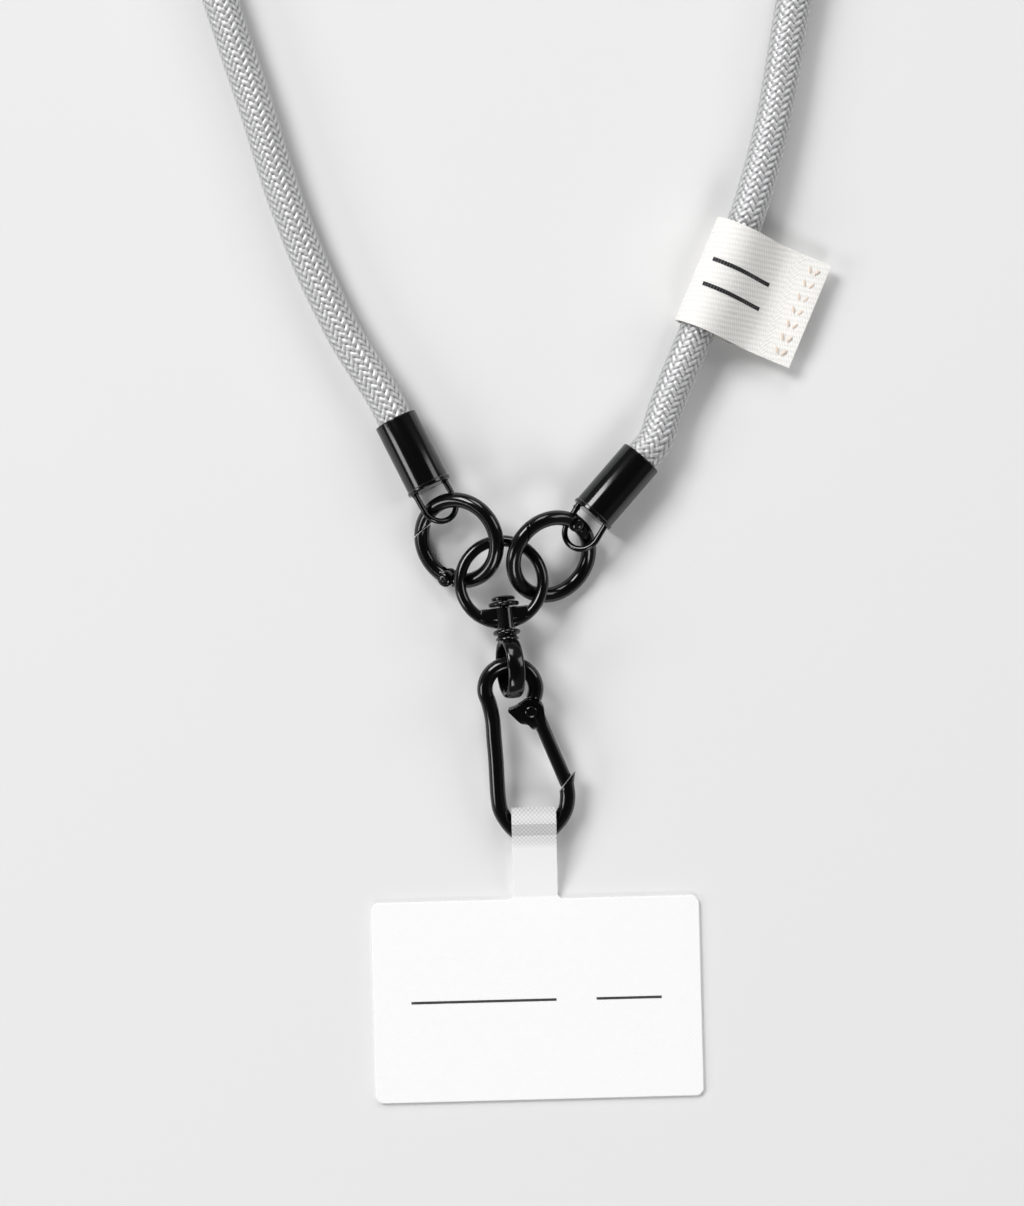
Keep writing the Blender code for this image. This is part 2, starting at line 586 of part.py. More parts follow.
def make_cap(cap, ring, mat):
    """A turned cap, open at the rope's end, with a wire bail soldered into its closed end."""
    bore = ROPE + ROPE_ROOM
    profile = [(0, 0), (CAP_RADIUS + CAP_LIP, 0), (CAP_RADIUS + CAP_LIP, -CAP_LIP_HEIGHT),
               (CAP_RADIUS, -CAP_LIP_HEIGHT - CAP_LIP), (CAP_RADIUS, -CAP_LENGTH),
               (bore, -CAP_LENGTH), (bore, -CAP_FLOOR), (0, -CAP_FLOOR)]
    frame = cap_frame(cap, ring)
    obj = mesh_object(cap["side"] + "_end_cap", turned(profile, 24, frame), mat)
    straight = BAIL_REACH - BAIL_SPREAD
    turn = arc_points((0, straight), BAIL_SPREAD, 0.0, math.pi, 13)
    legs = [(BAIL_SPREAD, -BAIL_SEAT), *turn, (-BAIL_SPREAD, -BAIL_SEAT)]
    place = (frame @ Matrix.Rotation(cap["swing"], 4, "Y") @ Matrix.Rotation(cap["twist"], 4, "Z"))
    points = [place @ Vector((x, 0.0, z)) for x, z in legs]
    bail = wire_mesh_object("bail_tool", points, BAIL_WIRE, 2, mat)
    combine(obj, bail, "UNION")
    return obj


def make_rope(mat):
    """The rope's centre line runs from inside one cap, round the whole loop, into the other."""
    start = cap_frame(LEFT_CAP, LEFT_RING)
    finish = cap_frame(RIGHT_CAP, RIGHT_RING)
    depths = (CAP_FLOOR + FIT, CAP_LENGTH / 2, CAP_LENGTH, CAP_LENGTH + ROPE)
    points = [start @ Vector((0, 0, -depth)) for depth in depths]
    for index, (x, y) in enumerate(ROUTE):
        lift = ROPE_LIFT if index in LABEL_POINTS else 0.0
        points.append(Vector((x, y, ROPE + lift)))
    points += [finish @ Vector((0, 0, -depth)) for depth in reversed(depths)]
    curve = wire_curve("strap_rope", smooth_route(points, ROPE_STEP), ROPE, 3)
    return add_object("strap_rope", curve, mat)


def make_label(mat):
    """A tape folded round the rope, its two layers closed together beyond the rope."""
    hole = ROPE + LABEL_SLACK
    outside = hole + LABEL_CLOTH
    middle = outside
    shut = hole + LABEL_TAIL * 0.3
    end_low = LABEL_END_HEIGHT
    end_high = end_low + 2 * LABEL_CLOTH
    inner = arc_points((0, middle), hole, math.radians(75), math.radians(285), 15)
    inner += [(shut, (end_low + middle * 0.6) / 2 + LABEL_CLOTH)]
    outer = arc_points((0, middle), outside, math.radians(75), math.radians(285), 15)
    outer += [(shut, (end_low + middle * 0.6) / 2), (LABEL_TAIL, end_low), (LABEL_TAIL, end_high),
              (shut, (end_low + middle * 0.6) / 2 + 2 * LABEL_CLOTH)]
    turn = Matrix.Translation((*LABEL_CENTRE, 0.0)) @ Matrix.Rotation(LABEL_TURN, 4, "Z")
    side = Matrix(((1, 0, 0, 0), (0, 0, -1, 0), (0, 1, 0, 0), (0, 0, 0, 1)))
    return plate_object("woven_label", [outer, inner], LABEL_WIDTH, turn @ side, mat)


def carry(empty_name, place, objects):
    """Parent the pieces that turn together to an empty on their axis."""
    empty = bpy.data.objects.new(empty_name, None)
    bpy.context.scene.collection.objects.link(empty)
    empty.matrix_world = place
    for obj in objects:
        obj.parent = empty
        obj.matrix_parent_inverse = place.inverted()


def main():
    for obj in list(bpy.data.objects):
        bpy.data.objects.remove(obj)
    metal = material("black plated metal", (0.010, 0.010, 0.011), 0.28, 1.0)
    braid = material("silver polyester braid", (0.42, 0.42, 0.43), 0.45)
    card_cloth = material("white woven laminate", (0.86, 0.86, 0.86), 0.6)
    tape = material("off-white twill tape", (0.78, 0.77, 0.74), 0.8)
    make_rope(braid)
    make_label(tape)
    for cap, ring in ((LEFT_CAP, LEFT_RING), (RIGHT_CAP, RIGHT_RING)):
        make_cap(cap, ring, metal)
        make_gate_ring(ring, metal)
        make_ring_gate(ring, metal)
        place = ring_frame(ring) @ Matrix.Translation(pivot_point(ring))
        make_pin(ring["side"] + "_gate_pin", place, 2 * RING_WIRE, metal)
    make_swivel_ring(metal)
    make_washer(metal)
    pivot = CLIP @ Matrix.Translation(CLIP_PIVOT)
    carried = [make_swivel_post(metal), make_carabiner_body(metal), make_carabiner_gate(metal),
               make_pin("carabiner_pin", pivot, 2 * GATE_WIRE, metal), make_card(card_cloth)]
    carry("swivel_axis", SWIVEL, carried)


main()
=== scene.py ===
"""Looks for the phone crossbody strap: smooth black metal, a braided rope, card, label, stage.

The places and sizes repeat those of the CAD part, in metres, in its frame.
"""
import math

import bmesh
import bpy
import numpy as np
from bpy.props import FloatProperty, FloatVectorProperty, IntProperty, PointerProperty
from mathutils import Matrix, Vector


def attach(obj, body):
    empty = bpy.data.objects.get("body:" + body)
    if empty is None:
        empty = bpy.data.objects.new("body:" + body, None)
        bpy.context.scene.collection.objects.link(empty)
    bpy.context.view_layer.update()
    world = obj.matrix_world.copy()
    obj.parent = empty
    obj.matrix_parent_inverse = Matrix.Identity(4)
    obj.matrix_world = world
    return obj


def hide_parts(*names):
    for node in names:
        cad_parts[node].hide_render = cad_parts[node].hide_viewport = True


bl_info = {
    "name": "Phone crossbody strap",
    "version": (1, 0, 0),
    "blender": (4, 5, 0),
    "location": "View3D > Sidebar > Strap",
    "description": "Builds the looks of a phone crossbody strap round its CAD frame",
    "category": "Object",
}

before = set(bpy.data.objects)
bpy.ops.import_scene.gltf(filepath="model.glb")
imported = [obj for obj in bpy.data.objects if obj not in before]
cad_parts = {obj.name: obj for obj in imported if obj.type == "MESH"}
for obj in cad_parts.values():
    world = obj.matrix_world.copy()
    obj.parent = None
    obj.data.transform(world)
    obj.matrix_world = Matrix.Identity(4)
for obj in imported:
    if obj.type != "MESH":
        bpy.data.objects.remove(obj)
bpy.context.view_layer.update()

FIT = 0.0003
ROPE = 0.0036
CARD_WIDTH, CARD_HEIGHT, CARD_THICKNESS = 0.0655, 0.040, 0.0008
CARD_CORNER = 0.0016
CARD_TURN = math.radians(1.5)
TAB_WIDTH, TAB_OFFSET, TAB_THICKNESS = 0.0089, 0.0002, 0.0006
TAB_REACH, TAB_ROOT, TAB_RISE = 0.0186, 0.0025, 0.0015

WIRE = 0.00155
EYE_UP, CLIP_EYE, CLIP_X = 0.0298, 0.00505, -0.00542
EYE_ARC = (math.radians(212), math.radians(-25))
BAR_DROP = 0.0060
CLIP_WIRE = [(0.0060, 0.460), (0.0057, 0.370), (0.00598, 0.282), (0.00558, 0.188),
             (0.00408, 0.101), (0.00168, 0.027), (-0.00092, 0.0), (-0.00392, 0.030),
             (-0.00632, 0.114), (-0.00752, 0.195), (-0.00780, 0.255), (-0.00808, 0.385),
             (-0.00828, 0.512), (-0.00866, 0.667), (-0.00898, 0.800)]
PIVOT_PLACE, BAR_START, NOSE_PLACE = (-0.0013, 0.855), (-0.0002, 0.839), (0.00566, 0.376)
NOSE_ANGLE = math.radians(-38.1)
GATE_WIRE, GATE_SLOT = 0.0014, 0.0013
TONGUE, TONGUE_ROUND = 0.0007, 0.0014
PIN, PIN_HEAD, PIN_HEAD_HEIGHT = 0.0006, 0.00115, 0.0003
LEVER_THICKNESS, LEVER_ROUND = 0.0024, 0.0026
LEVER = [(-0.0032, 0.0010), (-0.0044, 0.0006), (-0.0047, 0.0), (-0.0031, -0.0016),
         (-0.0021, -0.0025), (-0.0006, -0.0027), (0.0003, -0.0037), (0.0011, -0.0035),
         (0.0032, -0.0035)]

SWIVEL_RADIUS, SWIVEL_WIRE, SWIVEL_TILT, SWIVEL_LIFT = 0.0082, 0.00115, math.radians(6.0), 0.00018
AXIS_TURN = math.radians(-84.0)
BAR_TOP, BAR_WIDTH, BAR_DEPTH, BAR_THICKNESS = 0.0052, 0.0096, 0.0024, 0.0023
BOSS, POST, HEAD, HEAD_THICKNESS = 0.0019, 0.0009, 0.00235, 0.0010
WASHER, WASHER_THICKNESS, COLLAR, COLLAR_THICKNESS = 0.00305, 0.0008, 0.0027, 0.0009
EYE_LONG, EYE_HIGH, EYE_BAND, EYE_THICKNESS = 0.0061, 0.0050, 0.0034, 0.0012
EYE_DISTANCE, EYE_ROLL, EYE_SEAT_SHIFT = 0.0171, math.radians(16.0), 0.00065

RING_RADIUS, RING_WIRE = 0.00825, 0.0015
KNUCKLE, KNUCKLE_HEIGHT, TONGUE_REACH = 0.0016, 0.0028, 0.0031
GATE_SPAN, SCARF = math.radians(84.0), math.radians(14.0)
LEFT_RING = dict(side="left", offset=(-0.00842, 0.00822), tilt=math.radians(29.2),
                 uphill=math.radians(30.2), pivot=math.radians(-51.3), sense=-1)
RIGHT_RING = dict(side="right", offset=(0.00988, 0.00501), tilt=math.radians(34.0),
                  uphill=math.radians(138.0), pivot=math.radians(10.6), sense=1)

ROPE_ROOM, CAP_WALL, CAP_RISE = 0.00035, 0.0004, 0.0007
CAP_RADIUS = ROPE + ROPE_ROOM + CAP_WALL
CAP_LENGTH, CAP_FLOOR, CAP_LIP, CAP_LIP_HEIGHT = 0.0152, 0.0034, 0.0002, 0.0007
BAIL_WIRE, BAIL_SPREAD, BAIL_REACH, BAIL_SEAT = 0.0006, 0.0036, 0.0073, 0.0012
LEFT_CAP = dict(side="left", offset=(-0.0058, 0.0105), turn=math.radians(-63.1),
                swing=math.radians(2.8), twist=math.radians(-26.0))
RIGHT_CAP = dict(side="right", offset=(0.0080, 0.0082), turn=math.radians(229.2),
                 swing=math.radians(10.0), twist=math.radians(23.0))

ROUTE = [
    (-0.0385, 0.1328), (-0.0496, 0.1578), (-0.0559, 0.1774), (-0.0633, 0.1998),
    (-0.0715, 0.2280), (-0.0756, 0.2600), (-0.0764, 0.3010), (-0.0764, 0.3400),
    (-0.0723, 0.3512), (-0.0620, 0.3556), (-0.0517, 0.3512), (-0.0476, 0.3400),
    (-0.0476, 0.2300), (-0.0435, 0.2188), (-0.0332, 0.2144),
    (-0.0229, 0.2188), (-0.0188, 0.2300), (-0.0188, 0.3400),
    (-0.0147, 0.3512), (-0.0044, 0.3556), (0.0059, 0.3512), (0.0100, 0.3400),
    (0.0100, 0.2300), (0.0139, 0.2190), (0.0236, 0.2150),
    (0.0333, 0.2190), (0.0374, 0.2300), (0.0388, 0.3400),
    (0.0429, 0.3512), (0.0530, 0.3554), (0.0631, 0.3512), (0.0670, 0.3400),
    (0.0664, 0.2850), (0.0600, 0.2380), (0.0511, 0.1998), (0.0465, 0.1738),
    (0.0415, 0.1558), (0.0319, 0.1338), (0.0254, 0.1178),
]
LABEL_POINTS = (36, 37)
LABEL_WIDTH, LABEL_TAIL, LABEL_CLOTH, LABEL_SLACK = 0.0218, 0.0195, 0.0005, 0.0011
LABEL_CENTRE, LABEL_TURN, LABEL_END_HEIGHT = (0.0362, 0.1436), math.radians(-22.5), 0.0026
ROPE_LIFT = LABEL_CLOTH + 2 * FIT
SEEN_LENGTH = 0.118              # of each strand, the stretch that has the finer braid

CAMERA_AT = (-0.0051, 0.0792)
VIEW_HEIGHT = 0.2412


def clip_point(x, share):
    return Vector((x, share * EYE_UP, 0.0))


BAR_Y = CARD_HEIGHT / 2 + TAB_REACH - BAR_DROP
CLIP_BOTTOM = Vector((0.0, BAR_Y, TAB_THICKNESS + FIT + WIRE))
CLIP_REACH = EYE_UP + CLIP_EYE
SWIVEL_Z = RING_RADIUS * math.sin(LEFT_RING["tilt"]) + RING_WIRE + SWIVEL_WIRE + SWIVEL_LIFT
EYE_Z = SWIVEL_Z + EYE_DISTANCE * math.sin(SWIVEL_TILT)
EYE_SEAT = (EYE_Z - (EYE_HIGH - EYE_THICKNESS) * math.cos(EYE_ROLL)
            + EYE_BAND / 2 * math.sin(EYE_ROLL))
CLIP_RISE = math.asin((EYE_SEAT + WIRE + FIT - CLIP_BOTTOM.z) / CLIP_REACH)
CLIP = Matrix.Translation(CLIP_BOTTOM) @ Matrix.Rotation(CLIP_RISE, 4, "X")
CLIP_PIVOT = clip_point(*PIVOT_PLACE)
GATE_START = clip_point(*BAR_START)
NOSE_CUT = clip_point(*NOSE_PLACE)
NOSE_NORMAL = Vector((math.cos(NOSE_ANGLE), math.sin(NOSE_ANGLE), 0.0))


def swivel_frame():
    """Origin at the ring's centre, -Y along the swivel's axis towards the eye, Z across."""
    plan = Vector((math.cos(AXIS_TURN), math.sin(AXIS_TURN), 0.0))
    eye = Vector((CLIP_X, BAR_Y + CLIP_REACH * math.cos(CLIP_RISE) - EYE_SEAT_SHIFT, 0.0))
    centre = eye - plan * EYE_DISTANCE * math.cos(SWIVEL_TILT)
    centre.z = SWIVEL_Z
    return (Matrix.Translation(centre) @ Matrix.Rotation(AXIS_TURN + math.pi / 2, 4, "Z")
            @ Matrix.Rotation(-SWIVEL_TILT, 4, "X"))


SWIVEL = swivel_frame()


def ring_frame(ring):
    """Origin at a gate ring's centre, +Y uphill in its plane, Z its normal."""
    centre = SWIVEL.translation + Vector((*ring["offset"], 0.0))
    centre.z = RING_RADIUS * math.sin(ring["tilt"]) + RING_WIRE
    return (Matrix.Translation(centre) @ Matrix.Rotation(ring["uphill"] - math.pi / 2, 4, "Z")
            @ Matrix.Rotation(ring["tilt"], 4, "X"))


def ring_point(radius, angle):
    return Vector((radius * math.cos(angle), radius * math.sin(angle), 0.0))


def cap_frame(cap, ring):
    """Origin at the cap's bail end, +Z along its axis towards the bail, Y up."""
    end = ring_frame(ring).translation + Vector((*cap["offset"], 0.0))
    end.z = CAP_RADIUS + CAP_RISE
    rise = math.asin(CAP_RISE / CAP_LENGTH)
    axis = Vector((math.cos(cap["turn"]) * math.cos(rise), math.sin(cap["turn"]) * math.cos(rise),
                   math.sin(rise)))
    across = Vector((-axis.y, axis.x, 0.0)).normalized()
    return Matrix.Translation(end) @ Matrix((across, axis.cross(across), axis)).transposed().to_4x4()


# Shaders

def group_socket(group, name, kind, side, default=None):
    item = group.interface.new_socket(name=name, in_out=side, socket_type=kind)
    if default is not None:
        item.default_value = default
    return item


def math_node(tree, operation, first, second=None, third=None, clamp=False):
    node = tree.nodes.new("ShaderNodeMath")
    node.operation = operation
    node.use_clamp = clamp
    for socket, value in zip(node.inputs, (first, second, third)):
        if value is None:
            continue
        if isinstance(value, (int, float)):
            socket.default_value = value
        else:
            tree.links.new(value, socket)
    return node.outputs[0]


def noise_node(tree, vector, scale, detail=2.0, roughness=0.5):
    node = tree.nodes.new("ShaderNodeTexNoise")
    node.inputs["Scale"].default_value = scale
    node.inputs["Detail"].default_value = detail
    node.inputs["Roughness"].default_value = roughness
    tree.links.new(vector, node.inputs["Vector"])
    return node.outputs["Fac"]


def mix_colour(tree, factor, first, second):
    node = tree.nodes.new("ShaderNodeMix")
    node.data_type = "RGBA"
    tree.links.new(factor, node.inputs["Factor"])
    for socket, value in ((node.inputs[6], first), (node.inputs[7], second)):
        if isinstance(value, tuple):
            socket.default_value = (*value, 1.0)
        else:
            tree.links.new(value, socket)
    return node.outputs[2]


def grain_group():
    """Fine wear of a smooth surface: a roughness factor and a bumped normal."""
    group = bpy.data.node_groups.new("surface grain", "ShaderNodeTree")
    group_socket(group, "Vector", "NodeSocketVector", "INPUT")
    group_socket(group, "Scale", "NodeSocketFloat", "INPUT", 900.0)
    group_socket(group, "Depth", "NodeSocketFloat", "INPUT", 0.00001)
    group_socket(group, "Factor", "NodeSocketFloat", "OUTPUT")
    group_socket(group, "Normal", "NodeSocketVector", "OUTPUT")
    start = group.nodes.new("NodeGroupInput")
    end = group.nodes.new("NodeGroupOutput")
    fine = group.nodes.new("ShaderNodeTexNoise")
    group.links.new(start.outputs["Vector"], fine.inputs["Vector"])
    group.links.new(start.outputs["Scale"], fine.inputs["Scale"])
    fine.inputs["Detail"].default_value = 3.0
    bump = group.nodes.new("ShaderNodeBump")
    bump.inputs["Strength"].default_value = 1.0
    group.links.new(start.outputs["Depth"], bump.inputs["Distance"])
    group.links.new(fine.outputs["Fac"], bump.inputs["Height"])
    group.links.new(fine.outputs["Fac"], end.inputs["Factor"])
    group.links.new(bump.outputs["Normal"], end.inputs["Normal"])
    return group


def new_material(name, colour, roughness, metallic=0.0):
    mat = bpy.data.materials.new(name)
    mat.use_nodes = True
    shader = mat.node_tree.nodes["Principled BSDF"]
    shader.inputs["Base Color"].default_value = (*colour, 1.0)
    shader.inputs["Roughness"].default_value = roughness
    shader.inputs["Metallic"].default_value = metallic
    return mat, mat.node_tree, shader


def coordinates(tree, kind="Object"):
    return tree.nodes.new("ShaderNodeTexCoord").outputs[kind]


def metal_material(grain):
    low, high = 0.09, 0.17
    mat, tree, shader = new_material("black plating", (0.003, 0.003, 0.0033), high)
    shader.inputs["IOR"].default_value = 1.5
    node = tree.nodes.new("ShaderNodeGroup")
    node.node_tree = grain
    node.inputs["Scale"].default_value = 1400.0
    node.inputs["Depth"].default_value = 0.0000015
    tree.links.new(coordinates(tree), node.inputs["Vector"])
    spread = math_node(tree, "MULTIPLY_ADD", node.outputs["Factor"], high - low, low)
    tree.links.new(spread, shader.inputs["Roughness"])
    tree.links.new(node.outputs["Normal"], shader.inputs["Normal"])
    return mat


def braid_material():
    """Polyester yarn, painted darker towards the pits between yarns as painted shade: UV runs along and
    across each yarn, in millimetres.
    """
    mat, tree, shader = new_material("silver polyester braid", (0.45, 0.45, 0.46), 0.30)
    uv = coordinates(tree, "UV")
    split = tree.nodes.new("ShaderNodeSeparateXYZ")
    tree.links.new(uv, split.inputs[0])
    join = tree.nodes.new("ShaderNodeCombineXYZ")
    tree.links.new(math_node(tree, "MULTIPLY", split.outputs[0], 0.9), join.inputs[0])
    tree.links.new(math_node(tree, "MULTIPLY", split.outputs[1], 11.0), join.inputs[1])
    fibre = noise_node(tree, join.outputs[0], 1.0, 2.0, 0.6)
    height = tree.nodes.new("ShaderNodeAttribute")
    height.attribute_name = "crown"
    # Painted shade: the crown share takes the yarn from its lit grey on the crowns to near black in the
    # pits.
    pit_shade = tree.nodes.new("ShaderNodeMapRange")
    pit_shade.inputs["From Min"].default_value = 0.20
    pit_shade.inputs["From Max"].default_value = 0.92
    tree.links.new(height.outputs["Fac"], pit_shade.inputs["Value"])
    lit = mix_colour(tree, fibre, (0.44, 0.44, 0.445), (0.84, 0.84, 0.85))
    colour = mix_colour(tree, pit_shade.outputs[0], (0.06, 0.06, 0.062), lit)
    tree.links.new(colour, shader.inputs["Base Color"])
    bump = tree.nodes.new("ShaderNodeBump")
    bump.inputs["Strength"].default_value = 0.8
    bump.inputs["Distance"].default_value = 0.00006
    tree.links.new(fibre, bump.inputs["Height"])
    tree.links.new(bump.outputs["Normal"], shader.inputs["Normal"])
    shader.inputs["Sheen Weight"].default_value = 0.15
    shader.inputs["Specular IOR Level"].default_value = 1.0
    shader.inputs["Metallic"].default_value = 0.35
    return mat


def weave_height(tree, vector, pitch, skew=0.0):
    """Plain weave, or twill when the rows are skewed: two crossing waves."""
    split = tree.nodes.new("ShaderNodeSeparateXYZ")
    tree.links.new(vector, split.inputs[0])
    turn = math.pi / pitch
    across = math_node(tree, "MULTIPLY", split.outputs[0], turn)
    along = math_node(tree, "MULTIPLY", split.outputs[1], turn)
    if skew:
        along = math_node(tree, "MULTIPLY_ADD", across, skew, along)
    return math_node(tree, "MULTIPLY", math_node(tree, "SINE", across), math_node(tree, "SINE", along))


def card_material(grain):
    mat, tree, shader = new_material("white laminate", (0.96, 0.96, 0.96), 0.5)
    place = coordinates(tree)
    weave = weave_height(tree, place, 0.00042)
    node = tree.nodes.new("ShaderNodeGroup")
    node.node_tree = grain
    node.inputs["Scale"].default_value = 500.0
    tree.links.new(place, node.inputs["Vector"])
    split = tree.nodes.new("ShaderNodeSeparateXYZ")
    tree.links.new(place, split.inputs[0])
    # Painted shade: from 30.4 mm up, the tab's loop is painted grey, with darker weave gaps, for the
    # fold round the bar and the black bar seen through the thin fabric.
    loop = tree.nodes.new("ShaderNodeMapRange")
    loop.inputs["From Min"].default_value = 0.0304
    loop.inputs["From Max"].default_value = 0.0326
    tree.links.new(split.outputs[1], loop.inputs["Value"])
    thread = math_node(tree, "MULTIPLY_ADD", weave, 0.5, 0.5)
    tab_loop_shade = mix_colour(tree, thread, (0.52, 0.52, 0.52), (0.82, 0.82, 0.82))
    colour = mix_colour(tree, loop.outputs[0], (0.96, 0.96, 0.96), tab_loop_shade)
    tree.links.new(colour, shader.inputs["Base Color"])
    bump = tree.nodes.new("ShaderNodeBump")
    bump.inputs["Strength"].default_value = 0.35
    bump.inputs["Distance"].default_value = 0.00005
    tree.links.new(weave, bump.inputs["Height"])
    tree.links.new(node.outputs["Normal"], bump.inputs["Normal"])
    tree.links.new(bump.outputs["Normal"], shader.inputs["Normal"])
    return mat


def label_material():
    """Twill: UV runs along and across the tape, in metres."""
    mat, tree, shader = new_material("off-white twill", (0.82, 0.80, 0.76), 0.85)
    uv = coordinates(tree, "UV")
    twill = weave_height(tree, uv, 0.00052, 0.8)
    fine = noise_node(tree, uv, 5000.0, 2.0, 0.6)
    height = math_node(tree, "MULTIPLY_ADD", fine, 0.5, twill)
    # Painted shade in the twill's dips: the tape is painted darker where the twill lies low; the fine
    # noise in it adds tone at random.
    shade = math_node(tree, "MULTIPLY_ADD", height, 0.4, 0.45, clamp=True)
    colour = mix_colour(tree, shade, (0.84, 0.825, 0.79), (0.97, 0.955, 0.93))
    tree.links.new(colour, shader.inputs["Base Color"])
    bump = tree.nodes.new("ShaderNodeBump")
    bump.inputs["Strength"].default_value = 0.7
    bump.inputs["Distance"].default_value = 0.00009
    tree.links.new(height, bump.inputs["Height"])
    tree.links.new(bump.outputs["Normal"], shader.inputs["Normal"])
    shader.inputs["Sheen Weight"].default_value = 0.2
    return mat


def thread_material(name, colour):
    mat, tree, shader = new_material(name, colour, 0.7)
    fine = noise_node(tree, coordinates(tree), 3000.0)
    bump = tree.nodes.new("ShaderNodeBump")
    bump.inputs["Strength"].default_value = 0.5
    bump.inputs["Distance"].default_value = 0.00005
    tree.links.new(fine, bump.inputs["Height"])
    tree.links.new(bump.outputs["Normal"], shader.inputs["Normal"])
    return mat


def print_material():
    mat, tree, shader = new_material("dark print", (0.03, 0.03, 0.03), 0.5)
    fine = noise_node(tree, coordinates(tree), 2600.0)
    tree.links.new(mix_colour(tree, fine, (0.02, 0.02, 0.02), (0.07, 0.07, 0.07)),
                   shader.inputs["Base Color"])
    return mat


def floor_material(grey):
    mat, tree, shader = new_material("pale floor", (grey, grey, grey), 0.9)
    fine = noise_node(tree, coordinates(tree), 60.0)
    tree.links.new(mix_colour(tree, fine, (grey * 0.997,) * 3, (grey,) * 3),
                   shader.inputs["Base Color"])
    shader.inputs["Specular IOR Level"].default_value = 0.1
    return mat


# Shapes

def add_object(name, data, mat):
    obj = bpy.data.objects.new(name, data)
    data.materials.append(mat)
    bpy.context.scene.collection.objects.link(obj)
    return obj


def mesh_object(name, bm, mat, smooth_angle=34):
    bmesh.ops.recalc_face_normals(bm, faces=bm.faces[:])
    data = bpy.data.meshes.new(name)
    bm.to_mesh(data)
    bm.free()
    data.shade_smooth()
    data.set_sharp_from_angle(angle=math.radians(smooth_angle))
    return add_object(name, data, mat)


def evaluated_mesh(obj):
    graph = bpy.context.evaluated_depsgraph_get()
    return bpy.data.meshes.new_from_object(obj.evaluated_get(graph))


def combine(obj, tool, operation):
    boolean = obj.modifiers.new(operation.title(), "BOOLEAN")
    boolean.operation = operation
    boolean.solver = "EXACT"
    boolean.object = tool
    result = evaluated_mesh(obj)
    obj.modifiers.remove(boolean)
    old = obj.data
    obj.data = result
    bpy.data.meshes.remove(old)
    bpy.data.objects.remove(tool)


def soften(obj, width, segments=2, angle=40):
    """Round the sharp edges and shade the result smoothly."""
    bevel = obj.modifiers.new("Bevel", "BEVEL")
    bevel.width = width
    bevel.segments = segments
    bevel.limit_method = "ANGLE"
    bevel.angle_limit = math.radians(angle)
    bevel.use_clamp_overlap = True
    bevel.miter_outer = "MITER_ARC"
    result = evaluated_mesh(obj)
    obj.modifiers.remove(bevel)
    old = obj.data
    obj.data = result
    bpy.data.meshes.remove(old)
    obj.data.shade_smooth()
    obj.data.set_sharp_from_angle(angle=math.radians(50))


def absorb(obj, other):
    """Take another object's mesh into this one, as a shell of its own."""
    bm = bmesh.new()
    bm.from_mesh(obj.data)
    bm.from_mesh(other.data)
    bm.to_mesh(obj.data)
    bm.free()
    old = other.data
    bpy.data.objects.remove(other)
    bpy.data.meshes.remove(old)


def cylinder(radius, start, end, segments=48):
    start = Vector(start)
    along = Vector(end) - start
    bm = bmesh.new()
    place = Matrix.Translation(start + along / 2) @ along.to_track_quat("Z", "Y").to_matrix().to_4x4()
    bmesh.ops.create_cone(bm, cap_ends=True, segments=segments, radius1=radius, radius2=radius,
                          depth=along.length, matrix=place)
    return bm


def block_object(size, place, mat):
    bm = bmesh.new()
    bmesh.ops.create_cube(bm, size=1.0, matrix=place @ Matrix.Diagonal((*size, 1.0)))
    return mesh_object("block_tool", bm, mat)


def turned(profile, segments, place):
    bm = bmesh.new()
    verts = [bm.verts.new((radius, 0.0, height)) for radius, height in profile]
    edges = [bm.edges.new(pair) for pair in zip(verts, verts[1:])]
    bmesh.ops.spin(bm, geom=verts + edges, cent=(0, 0, 0), axis=(0, 0, 1), dvec=(0, 0, 0),
                   angle=math.tau, steps=segments, use_merge=True, use_duplicate=False)
    bmesh.ops.remove_doubles(bm, verts=bm.verts[:], dist=1e-6)
    bmesh.ops.transform(bm, matrix=place, verts=bm.verts[:])
    return bm


def ring_arc(radius, wire, start, end, sides=36, step=math.radians(2.5)):
    """A round bar bent about the local Z axis from one angle to another, with flat ends."""
    bm = bmesh.new()
    place = (Matrix.Rotation(start, 4, "Z") @ Matrix.Translation((radius, 0, 0))
             @ Matrix.Rotation(math.pi / 2, 4, "X"))
    circle = bmesh.ops.create_circle(bm, cap_ends=False, radius=wire, segments=sides, matrix=place)
    steps = max(3, round(abs(end - start) / step))
    whole = abs(abs(end - start) - math.tau) < 1e-6
    bmesh.ops.spin(bm, geom=circle["verts"] + bm.edges[:], cent=(0, 0, 0), axis=(0, 0, 1),
                   dvec=(0, 0, 0), angle=end - start, steps=steps, use_merge=whole,
                   use_duplicate=False)
    bmesh.ops.remove_doubles(bm, verts=bm.verts[:], dist=1e-6)
    if not whole:
        bmesh.ops.holes_fill(bm, edges=[edge for edge in bm.edges if edge.is_boundary])
    return bm


def smooth_route(points, spacing):
    ends = [points[0] * 2 - points[1], *points, points[-1] * 2 - points[-2]]
    out = []
    for p0, p1, p2, p3 in zip(ends, ends[1:], ends[2:], ends[3:]):
        before, here, after = (p1 - p0).length, (p2 - p1).length, (p3 - p2).length
        slope1 = (p1 - p0) / before - (p2 - p0) / (before + here) + (p2 - p1) / here
        slope2 = (p2 - p1) / here - (p3 - p1) / (here + after) + (p3 - p2) / after
        steps = max(1, round(here / spacing))
        for index in range(steps):
            t = index / steps
            out.append((2 * t ** 3 - 3 * t ** 2 + 1) * p1 + (t ** 3 - 2 * t ** 2 + t) * here * slope1
                       + (3 * t ** 2 - 2 * t ** 3) * p2 + (t ** 3 - t ** 2) * here * slope2)
    out.append(points[-1].copy())
    return out


